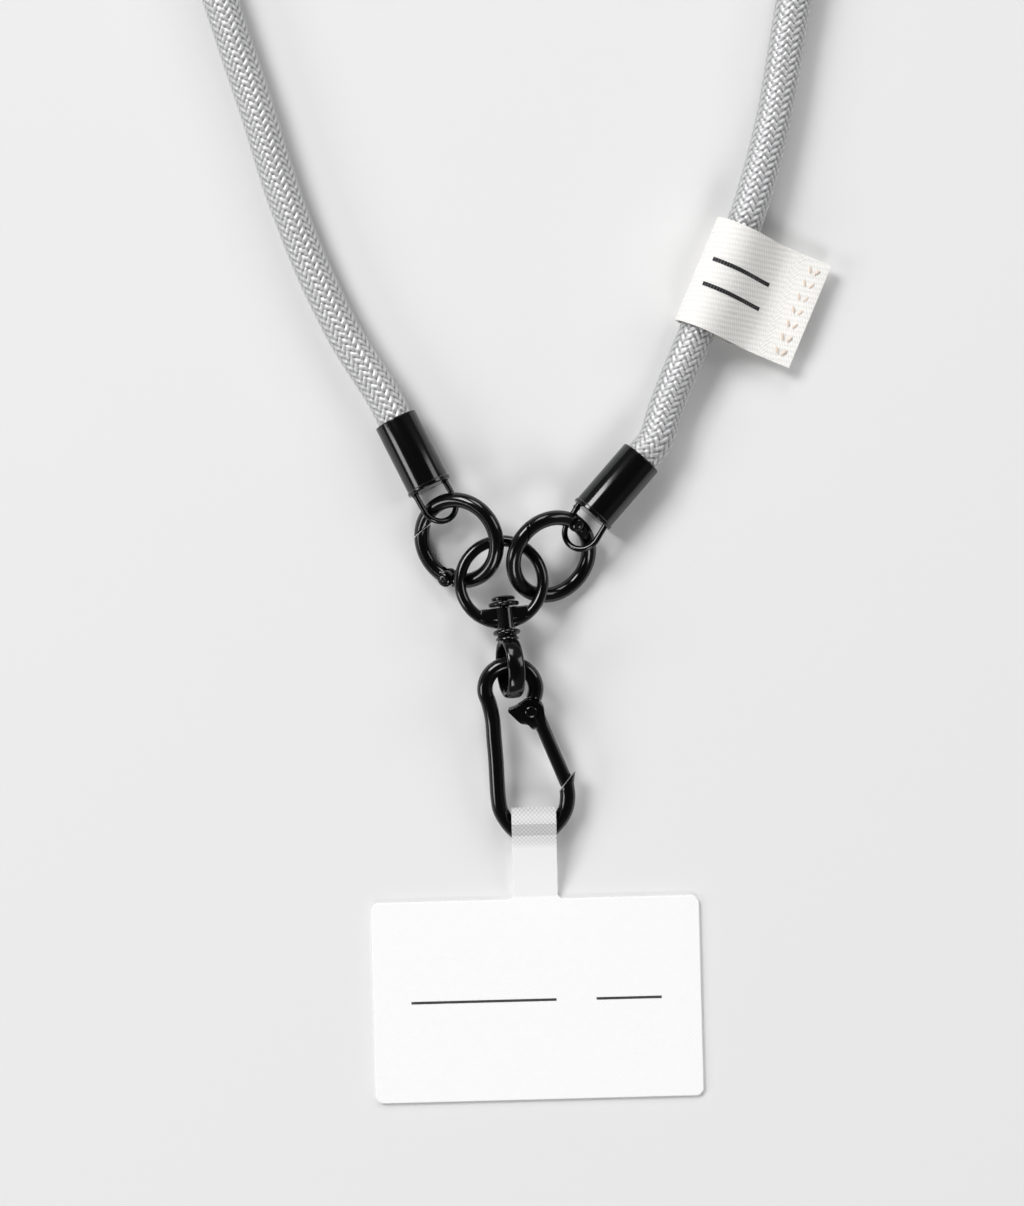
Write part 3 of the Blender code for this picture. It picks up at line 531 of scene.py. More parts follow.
def wire_object(name, points, radius, mat, resolution=9):
    """A bent round wire as a mesh."""
    curve = bpy.data.curves.new(name, "CURVE")
    curve.dimensions = "3D"
    curve.bevel_depth = radius
    curve.bevel_resolution = resolution
    curve.use_fill_caps = True
    spline = curve.splines.new("POLY")
    spline.points.add(len(points) - 1)
    for point, place in zip(spline.points, points):
        point.co = (*place, 1.0)
    guide = add_object(name + "_guide", curve, mat)
    data = evaluated_mesh(guide)
    bpy.data.objects.remove(guide)
    bm = bmesh.new()
    bm.from_mesh(data)
    bpy.data.meshes.remove(data)
    bmesh.ops.remove_doubles(bm, verts=bm.verts[:], dist=1e-6)
    return mesh_object(name, bm, mat)


def plate_object(name, loops, thickness, place, mat):
    """A flat outline, with its holes, as a plate."""
    curve = bpy.data.curves.new(name, "CURVE")
    curve.dimensions = "2D"
    curve.fill_mode = "BOTH"
    curve.extrude = thickness / 2
    for loop in loops:
        spline = curve.splines.new("POLY")
        spline.points.add(len(loop) - 1)
        for point, (x, y) in zip(spline.points, loop):
            point.co = (x, y, 0.0, 1.0)
        spline.use_cyclic_u = True
    guide = add_object(name + "_guide", curve, mat)
    data = evaluated_mesh(guide)
    bpy.data.objects.remove(guide)
    bm = bmesh.new()
    bm.from_mesh(data)
    bpy.data.meshes.remove(data)
    bmesh.ops.remove_doubles(bm, verts=bm.verts[:], dist=1e-6)
    bmesh.ops.dissolve_limit(bm, angle_limit=math.radians(1), verts=bm.verts[:], edges=bm.edges[:])
    bmesh.ops.transform(bm, matrix=place, verts=bm.verts[:])
    return mesh_object(name, bm, mat)


def arc_points(centre, radius, start, end, count):
    return [(centre[0] + radius * math.cos(start + (end - start) * index / (count - 1)),
             centre[1] + radius * math.sin(start + (end - start) * index / (count - 1)))
            for index in range(count)]


def trim(obj, point, normal):
    size = 0.008
    place = Matrix.Translation(point) @ normal.to_track_quat("Z", "Y").to_matrix().to_4x4()
    tool = block_object((size, size, size), place @ Matrix.Translation((0, 0, size / 2)),
                        obj.data.materials[0])
    combine(obj, tool, "DIFFERENCE")


def cut_round(obj, point, radius, height):
    half = Vector((0, 0, height / 2))
    bm = cylinder(radius, point - half, point + half)
    combine(obj, mesh_object("round_tool", bm, obj.data.materials[0]), "DIFFERENCE")


def add_round(obj, start, end, radius):
    tool = mesh_object("round_tool", cylinder(radius, start, end), obj.data.materials[0])
    combine(obj, tool, "UNION")


def add_tongue(obj, point, towards):
    half = Vector((0, 0, TONGUE / 2))
    add_round(obj, point - half, point + half, TONGUE_ROUND)
    length = towards.length
    along = towards.to_track_quat("X", "Z").to_matrix().to_4x4()
    place = Matrix.Translation(point) @ along @ Matrix.Translation((length / 2, 0, 0))
    combine(obj, block_object((length, 1.5 * TONGUE_ROUND, TONGUE), place, obj.data.materials[0]),
            "UNION")
    cut_round(obj, point, PIN + FIT, 4 * TONGUE)


def stand_for(obj, body, slot, *nodes):
    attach(obj, body)
    if nodes:
        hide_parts(*nodes)


def pin_object(name, place, thickness, mat):
    """A rivet with a dished head on each side."""
    inside = thickness / 2 + FIT
    outside = inside + PIN_HEAD_HEIGHT
    rim = PIN_HEAD_HEIGHT / 2
    side = [(0, outside - rim), (PIN_HEAD * 0.35, outside - rim), (PIN_HEAD * 0.45, outside),
            (PIN_HEAD * 0.8, outside), (PIN_HEAD, outside - rim), (PIN_HEAD, inside), (PIN, inside)]
    profile = [(radius, -height) for radius, height in side] + side[::-1]
    return mesh_object(name, turned(profile, 40, place), mat)


def rope_points(spacing):
    start, finish = cap_frame(LEFT_CAP, LEFT_RING), cap_frame(RIGHT_CAP, RIGHT_RING)
    depths = (CAP_FLOOR + FIT, CAP_LENGTH / 2, CAP_LENGTH, CAP_LENGTH + ROPE)
    points = [start @ Vector((0, 0, -depth)) for depth in depths]
    for index, (x, y) in enumerate(ROUTE):
        lift = ROPE_LIFT if index in LABEL_POINTS else 0.0
        points.append(Vector((x, y, ROPE + lift)))
    points += [finish @ Vector((0, 0, -depth)) for depth in reversed(depths)]
    return smooth_route(points, spacing)


# Settings

class RopeSettings(bpy.types.PropertyGroup):
    carriers: IntProperty(name="Carriers", description="Yarns round the braid", default=32,
                          min=16, max=48)
    pitch: FloatProperty(name="Pitch", description="Length of one stitch along the rope",
                         default=0.00153, unit="LENGTH", precision=5)
    crown: FloatProperty(name="Crown", description="Rise of a yarn over the one below",
                         default=0.00020, unit="LENGTH", precision=5)
    groove: FloatProperty(name="Groove", description="Depth at the edge of a yarn",
                          default=0.00040, unit="LENGTH", precision=5)


class MetalSettings(bpy.types.PropertyGroup):
    edge: FloatProperty(name="Edge", description="Width of the rounded edges", default=0.00012,
                        unit="LENGTH", precision=5)


class CardSettings(bpy.types.PropertyGroup):
    line: FloatProperty(name="Line", description="Thickness of the printed bars", default=0.0005,
                        unit="LENGTH", precision=5)


class LabelSettings(bpy.types.PropertyGroup):
    stitches: IntProperty(name="Stitches", description="Stitches at the open end", default=7,
                          min=1, max=20)


class StageSettings(bpy.types.PropertyGroup):
    lens: FloatProperty(name="Lens", description="Focal length of the camera, in millimetres",
                        default=100.0)
    floor_grey: FloatProperty(name="Floor grey", description="Floor's base colour", default=0.80)
    key: FloatProperty(name="Key light", description="Power of the upper left light",
                       default=75.0, subtype="POWER")
    fill: FloatProperty(name="Fill", description="Strength of the light from the sides",
                        default=2.4)
    overhead: FloatProperty(name="Overhead", description="Strength of the light from above",
                            default=0.22)
    key_at: FloatVectorProperty(name="Key place", description="Place of the upper left light",
                                default=(-1.75, 1.75, 2.35), unit="LENGTH")


# Operators

class STRAP_OT_rope(bpy.types.Operator):
    """Build the braided rope: a core painted near black as shade between the yarns, and the yarns round
    it
    """
    bl_idname = "strap.rope"
    bl_label = "Braided rope"

    def execute(self, context):
        settings = context.scene.strap_rope
        yarn = braid_material()
        line = rope_points(0.0015)
        where = np.array([tuple(point) for point in line])
        along = np.concatenate(([0.0], np.cumsum(np.linalg.norm(np.diff(where, axis=0), axis=1))))
        total = float(along[-1])
        # Painted shade: the core is coloured near black so that the gaps between the yarns read as
        # shade.
        core_shade_mat = new_material("core in painted shade", (0.08, 0.08, 0.085), 0.8)[0]
        tree = core_shade_mat.node_tree
        fine = noise_node(tree, coordinates(tree), 900.0)
        tree.links.new(mix_colour(tree, fine, (0.06, 0.06, 0.06), (0.10, 0.10, 0.10)),
                       tree.nodes["Principled BSDF"].inputs["Base Color"])
        curve = bpy.data.curves.new("rope_core", "CURVE")
        curve.dimensions = "3D"
        curve.bevel_depth = ROPE - 0.0006
        curve.bevel_resolution = 4
        curve.use_fill_caps = True
        spline = curve.splines.new("POLY")
        coarse = rope_points(0.005)
        spline.points.add(len(coarse) - 1)
        for point, place in zip(spline.points, coarse):
            point.co = (*place, 1.0)
        core = add_object("rope_core", curve, core_shade_mat)
        stand_for(core, "root", "rope", "strap_rope")
        cuts_at = np.linspace(SEEN_LENGTH, total - SEEN_LENGTH, 4)
        bounds = [(0.0, SEEN_LENGTH, 4)]
        bounds += [(low, high, 3) for low, high in zip(cuts_at, cuts_at[1:])]
        bounds += [(total - SEEN_LENGTH, total, 4)]
        for index, (low, high, cuts) in enumerate(bounds):
            piece = self.sheath(f"rope_braid_{index + 1}", low, high, cuts, where, along, settings,
                                yarn)
            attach(piece, "root")
        exit_at = cap_frame(LEFT_CAP, LEFT_RING) @ Vector((0, 0, -CAP_FLOOR - FIT))
        return {"FINISHED"}

    def sheath(self, name, low, high, cuts, where, along, settings, mat):
        """A stretch of braid: a grid along the yarns' two directions, rolled into a tube."""
        half = settings.carriers // 2
        step = settings.pitch / 2
        first = math.floor(-high / step) - 1
        last = math.ceil(-low / step) + half + 1
        wide, long = half * cuts, (last - first) * cuts
        bm = bmesh.new()
        bmesh.ops.create_grid(bm, x_segments=wide, y_segments=long, size=0.5)
        data = bpy.data.meshes.new(name)
        bm.to_mesh(data)
        bm.free()
        count = len(data.vertices)
        flat = np.empty(count * 3)
        data.vertices.foreach_get("co", flat)
        flat = flat.reshape(-1, 3)
        a = np.round((flat[:, 0] + 0.5) * wide) / cuts
        b = np.round((flat[:, 1] + 0.5) * long) / cuts + first
        whole_a, whole_b = np.floor(a + 0.5), np.floor(b + 0.5)
        off_a, off_b = a - whole_a, b - whole_b
        rise_a = np.clip(1.5 * np.cos(math.pi / 2 * (a + whole_b - 0.5)), -1.0, 1.0)
        rise_b = np.clip(-1.5 * np.cos(math.pi / 2 * (b + whole_a - 0.5)), -1.0, 1.0)
        side_a = np.sqrt(np.clip(1.0 - (1.94 * off_b) ** 2, 0.0, 1.0))
        side_b = np.sqrt(np.clip(1.0 - (1.94 * off_a) ** 2, 0.0, 1.0))
        crown, groove = settings.crown, settings.groove
        height = np.maximum(crown * rise_a + groove * (side_a - 1.0),
                            crown * rise_b + groove * (side_b - 1.0))
        s = (a - b) * step
        angle = (a + b) * math.tau / settings.carriers
        crown_share = np.clip((height + groove) / (crown + groove), 0.0, 1.0)
        wobble = 1.0 + 0.006 * np.sin(s * 310.0 + 2.0 * angle) + 0.005 * np.sin(s * 97.0 - angle)
        radius = (ROPE - crown) * wobble + height
        spot = np.stack([np.interp(s, along, where[:, k]) for k in range(3)], axis=1)
        ahead = np.stack([np.interp(s + 0.0015, along, where[:, k]) for k in range(3)], axis=1)
        behind = np.stack([np.interp(s - 0.0015, along, where[:, k]) for k in range(3)], axis=1)
        tangent = ahead - behind
        tangent /= np.maximum(np.linalg.norm(tangent, axis=1, keepdims=True), 1e-9)
        across = np.cross(tangent, np.array([0.0, 0.0, 1.0]))
        across /= np.maximum(np.linalg.norm(across, axis=1, keepdims=True), 1e-9)
        up = np.cross(across, tangent)
        out = across * np.cos(angle)[:, None] + up * np.sin(angle)[:, None]
        places = spot + out * radius[:, None]
        corners = np.empty(len(data.loops), dtype=np.int32)
        data.loops.foreach_get("vertex_index", corners)
        corners = corners.reshape(-1, 4)
        mid_a, mid_b = a[corners].mean(axis=1), b[corners].mean(axis=1)
        even = ((np.floor(mid_a + 0.5) + np.floor(mid_b + 0.5)) % 4) < 1.5
        yarn_mm = 1000.0 * math.hypot(step, math.tau * ROPE / settings.carriers)
        run = np.where(even[:, None], a[corners], b[corners]) * yarn_mm
        side = np.where(even[:, None], b[corners], a[corners]) * yarn_mm
        layer = data.uv_layers.new(name="yarn")
        layer.data.foreach_set("uv", np.stack([run, side], axis=2).astype(np.float32).ravel())
        data.vertices.foreach_set("co", places.astype(np.float32).ravel())
        # The crown share drives the painted shade in the pits, in the braid's shader.
        share = data.attributes.new("crown", "FLOAT", "POINT")
        share.data.foreach_set("value", crown_share.astype(np.float32))
        mid_s = (mid_a - mid_b) * step
        keep = (mid_s > low) & (mid_s < high)
        bm = bmesh.new()
        bm.from_mesh(data)
        bm.faces.ensure_lookup_table()
        drop = [bm.faces[i] for i in np.nonzero(~keep)[0]]
        bmesh.ops.delete(bm, geom=drop, context="FACES")
        bmesh.ops.remove_doubles(bm, verts=bm.verts[:], dist=2e-6)
        bmesh.ops.recalc_face_normals(bm, faces=bm.faces[:])
        bm.to_mesh(data)
        bm.free()
        data.shade_smooth()
        return add_object(name, data, mat)


class STRAP_OT_caps(bpy.types.Operator):
    """Build the two end caps with their bails"""
    bl_idname = "strap.caps"
    bl_label = "End caps"

    def execute(self, context):
        mat = bpy.data.materials["black plating"]
        for cap, ring in ((LEFT_CAP, LEFT_RING), (RIGHT_CAP, RIGHT_RING)):
            place = cap_frame(cap, ring)
            bore = ROPE + ROPE_ROOM
            lip = CAP_RADIUS + CAP_LIP
            edge = 0.00022
            profile = [(0, 0), (lip - edge, 0)]
            profile += arc_points((lip - edge, -edge), edge, math.pi / 2, 0.0, 5)[1:]
            profile += [(lip, -CAP_LIP_HEIGHT), (CAP_RADIUS, -CAP_LIP_HEIGHT - CAP_LIP)]
            profile += [(CAP_RADIUS, -CAP_LENGTH + edge)]
            profile += arc_points((CAP_RADIUS - edge, -CAP_LENGTH + edge), edge, 0.0,
                                  -math.pi / 2, 4)[1:]
            profile += [(bore, -CAP_LENGTH + edge / 2), (bore, -CAP_FLOOR), (0, -CAP_FLOOR)]
            shell = mesh_object(cap["side"] + "_cap", turned(profile, 96, place), mat)
            straight = BAIL_REACH - BAIL_SPREAD
            turn = arc_points((0, straight), BAIL_SPREAD, 0.0, math.pi, 25)
            legs = [(BAIL_SPREAD, -BAIL_SEAT), *turn, (-BAIL_SPREAD, -BAIL_SEAT)]
            seat = place @ Matrix.Rotation(cap["swing"], 4, "Y") @ Matrix.Rotation(cap["twist"], 4, "Z")
            points = [seat @ Vector((x, 0.0, z)) for x, z in legs]
            absorb(shell, wire_object("bail", points, BAIL_WIRE, mat))
            for x in (BAIL_SPREAD, -BAIL_SPREAD):
                foot = seat @ Vector((x, 0, -0.0002))
                tip = seat @ Vector((x, 0, 0.00035))
                collar = mesh_object("collar", cylinder(BAIL_WIRE * 1.25, foot, tip, 24), mat)
                soften(collar, 0.0001)
                absorb(shell, collar)
            stand_for(shell, "root", "black_metal", cap["side"] + "_end_cap")
        return {"FINISHED"}


class STRAP_OT_gate_rings(bpy.types.Operator):
    """Build the two gate rings, their gates and their rivets"""
    bl_idname = "strap.gate_rings"
    bl_label = "Gate rings"

    def execute(self, context):
        mat = bpy.data.materials["black plating"]
        edge = context.scene.strap_metal.edge
        for ring in (LEFT_RING, RIGHT_RING):
            side, sense = ring["side"], ring["sense"]
            place = ring_frame(ring)
            pivot = ring_point(RING_RADIUS, ring["pivot"])
            point, normal = self.scarf(ring)
            start = ring["pivot"] + sense * (GATE_SPAN - 1.5 * SCARF)
            body = mesh_object(side + "_ring_body",
                               ring_arc(RING_RADIUS, RING_WIRE, start, ring["pivot"] + sense * math.tau),
                               mat)
            trim(body, point + normal * FIT / 2, -normal)
            cut_round(body, pivot, KNUCKLE + FIT, 4 * RING_WIRE)
            back = ring["pivot"] - sense * TONGUE_REACH / RING_RADIUS
            add_tongue(body, pivot, ring_point(RING_RADIUS, back) - pivot)
            soften(body, edge)
            body.data.transform(place)
            stand_for(body, "root", "black_metal", side + "_gate_ring")
            nose = ring["pivot"] + sense * (GATE_SPAN + 1.5 * SCARF)
            gate = mesh_object(side + "_ring_latch",
                               ring_arc(RING_RADIUS, RING_WIRE, ring["pivot"], nose), mat)
            trim(gate, point - normal * FIT / 2, normal)
            half = Vector((0, 0, KNUCKLE_HEIGHT / 2))
            add_round(gate, pivot - half, pivot + half, KNUCKLE)
            cut_round(gate, pivot, KNUCKLE + TONGUE_ROUND / 2, GATE_SLOT)
            cut_round(gate, pivot, PIN + FIT, 4 * RING_WIRE)
            soften(gate, edge)
            gate.data.transform(place)
            stand_for(gate, side + "_gate", "black_metal", side + "_ring_gate")
            rivet = pin_object(side + "_ring_rivet", place @ Matrix.Translation(pivot),
                               2 * RING_WIRE, mat)
            stand_for(rivet, "root", "black_metal", side + "_gate_pin")
        return {"FINISHED"}

    def scarf(self, ring):
        outer = ring_point(RING_RADIUS + RING_WIRE, ring["pivot"] + ring["sense"] * (GATE_SPAN - SCARF))
        inner = ring_point(RING_RADIUS - RING_WIRE, ring["pivot"] + ring["sense"] * (GATE_SPAN + SCARF))
        normal = (inner - outer).cross(Vector((0, 0, 1))).normalized() * ring["sense"]
        return (inner + outer) / 2, normal


class STRAP_OT_swivel(bpy.types.Operator):
    """Build the swivel's ring, washer and post"""
    bl_idname = "strap.swivel"
    bl_label = "Swivel"

    def execute(self, context):
        mat = bpy.data.materials["black plating"]
        ring = mesh_object("swivel_loop", ring_arc(SWIVEL_RADIUS, SWIVEL_WIRE, 0.0, math.tau), mat)
        middle = -(BAR_TOP + BAR_DEPTH / 2)
        bar = block_object((BAR_WIDTH, BAR_DEPTH, BAR_THICKNESS), Matrix.Translation((0, middle, 0)),
                           mat)
        soften(bar, 0.0003, 3)
        combine(ring, bar, "UNION")
        outside = -(SWIVEL_RADIUS + SWIVEL_WIRE)
        add_round(ring, (0, -BAR_TOP - 0.0002, 0), (0, outside, 0), BOSS)
        bore = cylinder(POST + FIT, (0, -BAR_TOP + POST, 0), (0, outside - POST, 0))
        combine(ring, mesh_object("bore_tool", bore, mat), "DIFFERENCE")
        ring.data.shade_smooth()
        ring.data.set_sharp_from_angle(angle=math.radians(34))
        ring.data.transform(SWIVEL)
        stand_for(ring, "root", "black_metal", "swivel_ring")
        along = SWIVEL @ Matrix.Rotation(math.pi / 2, 4, "X")
        low, high, hole = BAR_TOP - FIT - WASHER_THICKNESS, BAR_TOP - FIT, POST + FIT
        edge = 0.0002
        profile = [(hole, low), (WASHER - edge, low), (WASHER, low + edge), (WASHER, high - edge),
                   (WASHER - edge, high), (hole, high), (hole, low)]
        washer = mesh_object("swivel_disc", turned(profile, 64, along), mat, 60)
        stand_for(washer, "root", "black_metal", "swivel_washer")
        self.post(mat, along)
        return {"FINISHED"}

    def post(self, mat, along):
        head = BAR_TOP - WASHER_THICKNESS - 2 * FIT
        collar = SWIVEL_RADIUS + SWIVEL_WIRE + FIT
        bead = collar + COLLAR_THICKNESS
        end = EYE_DISTANCE - EYE_LONG + EYE_THICKNESS / 2
        top = head - HEAD_THICKNESS
        edge = 0.00025
        profile = [(0, top), (HEAD * 0.6, top + 0.00005), (HEAD * 0.88, top + 0.0002)]
        profile += [(HEAD, top + 0.00045), (HEAD, head - 0.0001), (HEAD - 0.0001, head)]
        profile += [(POST, head), (POST, collar), (COLLAR - edge, collar), (COLLAR, collar + edge),
                    (COLLAR, bead - edge), (COLLAR - edge, bead), (COLLAR * 0.7, bead + 0.0001),
                    (COLLAR * 0.7, bead + 0.0003), (COLLAR * 0.85 - edge, bead + 0.0005),
                    (COLLAR * 0.85, bead + 0.0005 + edge), (COLLAR * 0.85, end), (0, end)]
        post = mesh_object("swivel_stem", turned(profile, 64, along), mat, 45)
        middle, half, thick = EYE_HIGH - EYE_THICKNESS / 2, EYE_BAND / 2, EYE_THICKNESS / 2
        band = arc_points((0, 0), 1.0, 0.0, math.tau, 17)
        band = [(middle + thick * math.copysign(abs(x) ** 0.8, x),
                 half * math.copysign(abs(y) ** 0.55, y)) for x, y in band]
        place = (SWIVEL @ Matrix.Translation((0, -EYE_DISTANCE, 0)) @ Matrix.Rotation(EYE_ROLL, 4, "Y")
                 @ Matrix.Rotation(math.pi / 2, 4, "Y")
                 @ Matrix.Scale(EYE_LONG / EYE_HIGH, 4, (0, 1, 0)))
        absorb(post, mesh_object("eye", turned(band, 96, place), mat, 60))
        stand_for(post, "swivel", "black_metal", "swivel_post")


class STRAP_OT_carabiner(bpy.types.Operator):
    """Build the carabiner, its gate and its rivet"""
    bl_idname = "strap.carabiner"
    bl_label = "Carabiner"

    def execute(self, context):
        mat = bpy.data.materials["black plating"]
        edge = context.scene.strap_metal.edge
        wire = [clip_point(x, y) for x, y in CLIP_WIRE]
        wire += [Vector((x, y, 0.0))
                 for x, y in arc_points((CLIP_X, EYE_UP), CLIP_EYE, *EYE_ARC, 10)]
        body = wire_object("carabiner_loop", smooth_route(wire, 0.0006), WIRE, mat)
        trim(body, NOSE_CUT + NOSE_NORMAL * FIT / 2, -NOSE_NORMAL)
        cut_round(body, CLIP_PIVOT, LEVER_ROUND + FIT, 4 * WIRE)
        add_tongue(body, CLIP_PIVOT, Vector((CLIP_X + CLIP_EYE, EYE_UP, 0.0)) - CLIP_PIVOT)
        soften(body, edge)
        body.data.transform(CLIP)
        stand_for(body, "swivel", "black_metal", "carabiner_body")
        outline = [(CLIP_PIVOT.x + x, CLIP_PIVOT.y + y) for x, y in LEVER]
        outline += arc_points(CLIP_PIVOT.xy, LEVER_ROUND, 0.0, math.radians(135), 24)
        gate = plate_object("carabiner_latch", [outline], LEVER_THICKNESS, Matrix(), mat)
        soften(gate, 0.0003, 3, 30)
        past = NOSE_CUT + (NOSE_CUT - GATE_START) * 0.2
        combine(gate, wire_object("bar_tool", [GATE_START, past], GATE_WIRE, mat), "UNION")
        trim(gate, NOSE_CUT - NOSE_NORMAL * FIT / 2, NOSE_NORMAL)
        cut_round(gate, CLIP_PIVOT, LEVER_ROUND + FIT, GATE_SLOT)
        cut_round(gate, CLIP_PIVOT, PIN + FIT, 4 * WIRE)
        gate.data.shade_smooth()
        gate.data.set_sharp_from_angle(angle=math.radians(34))
        gate.data.transform(CLIP)
        stand_for(gate, "clip_gate", "black_metal", "carabiner_gate")
        rivet = pin_object("carabiner_rivet", CLIP @ Matrix.Translation(CLIP_PIVOT), 2 * GATE_WIRE, mat)
        stand_for(rivet, "swivel", "black_metal", "carabiner_pin")
        return {"FINISHED"}


class STRAP_OT_card(bpy.types.Operator):
    """Build the phone card with its tab and plain printed bars"""
    bl_idname = "strap.card"
    bl_label = "Phone card"

    def execute(self, context):
        mat = card_material(bpy.data.node_groups["surface grain"])
        turn = Matrix.Rotation(CARD_TURN, 4, "Z")
        half_w, half_h = CARD_WIDTH / 2 - CARD_CORNER, CARD_HEIGHT / 2 - CARD_CORNER
        outline = []
        for quarter, (x, y) in enumerate(((1, 1), (-1, 1), (-1, -1), (1, -1))):
            start = quarter * math.pi / 2
            outline += arc_points((x * half_w, y * half_h), CARD_CORNER, start, start + math.pi / 2, 12)
            if quarter == 0:
                outline += self.neck(1) + self.neck(-1)
        card = plate_object("card_sheet", [outline], CARD_THICKNESS,
                            turn @ Matrix.Translation((0, 0, CARD_THICKNESS / 2)), mat)
        soften(card, 0.00014, 2, 50)
        tab = self.tab(turn, mat)
        soften(tab, 0.00012, 2, 50)
        absorb(card, tab)
        card.data.set_sharp_from_angle(angle=math.radians(12))
        stand_for(card, "swivel", "card", "phone_card")
        bars = self.bars(turn, context.scene.strap_card.line)
        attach(bars, "swivel")
        return {"FINISHED"}

    def neck(self, side):
        """The rounded inside corner between the card's edge and one side of the tab."""
        radius = 0.0012
        x = TAB_OFFSET + side * (TAB_WIDTH / 2)
        y = CARD_HEIGHT / 2
        centre = (x + side * radius, y + radius)
        if side > 0:
            points = arc_points(centre, radius, 1.5 * math.pi, math.pi, 7)
        else:
            points = arc_points(centre, radius, 0.0, -math.pi / 2, 7)
        return points

    def tab(self, turn, mat):
        root = CARD_HEIGHT / 2 + TAB_ROOT
        over = CLIP_BOTTOM.z + WIRE + FIT
        fold = (over + TAB_RISE + TAB_THICKNESS) / 2
        centre = (CARD_HEIGHT / 2 + TAB_REACH - fold, fold)
        bar = (BAR_Y, CLIP_BOTTOM.z)
        inner = [(root, TAB_THICKNESS)]
        inner += arc_points(centre, fold - TAB_THICKNESS, -math.pi / 2, math.pi / 2, 25)
        inner += arc_points(bar, WIRE + FIT, math.radians(80), math.radians(115), 6)
        inner += [(root, TAB_THICKNESS + FIT)]
        edge = CARD_HEIGHT / 2
        inset = CARD_THICKNESS / 8
        outer = [(edge - TAB_ROOT, inset), (edge, inset), (edge + 2 * FIT, 0.0)]
        outer += arc_points(centre, fold, -math.pi / 2, math.pi / 2, 25)
        outer += arc_points(bar, WIRE + FIT + TAB_THICKNESS, math.radians(80), math.radians(115), 6)
        outer += [(root, 2 * TAB_THICKNESS + FIT), (edge + 2 * FIT, CARD_THICKNESS),
                  (edge, CARD_THICKNESS - inset), (edge - TAB_ROOT, CARD_THICKNESS - inset)]
        side = Matrix(((0, 0, 1, TAB_OFFSET), (1, 0, 0, 0), (0, 1, 0, 0), (0, 0, 0, 1)))
        return plate_object("tab_tool", [outer, inner], TAB_WIDTH, turn @ side, mat)

    def bars(self, turn, line):
        """Two plain bars where such cards carry a print."""
        bm = bmesh.new()
        for x0, x1, y in ((-0.0252, 0.0038, -0.0001), (0.0118, 0.0248, -0.0001)):
            size = Matrix.Diagonal((x1 - x0, line, 0.00004, 1.0))
            place = Matrix.Translation(((x0 + x1) / 2, y, CARD_THICKNESS + 0.00002))
            bmesh.ops.create_cube(bm, size=1.0, matrix=turn @ place @ size)
        return mesh_object("card_bars", bm, print_material())


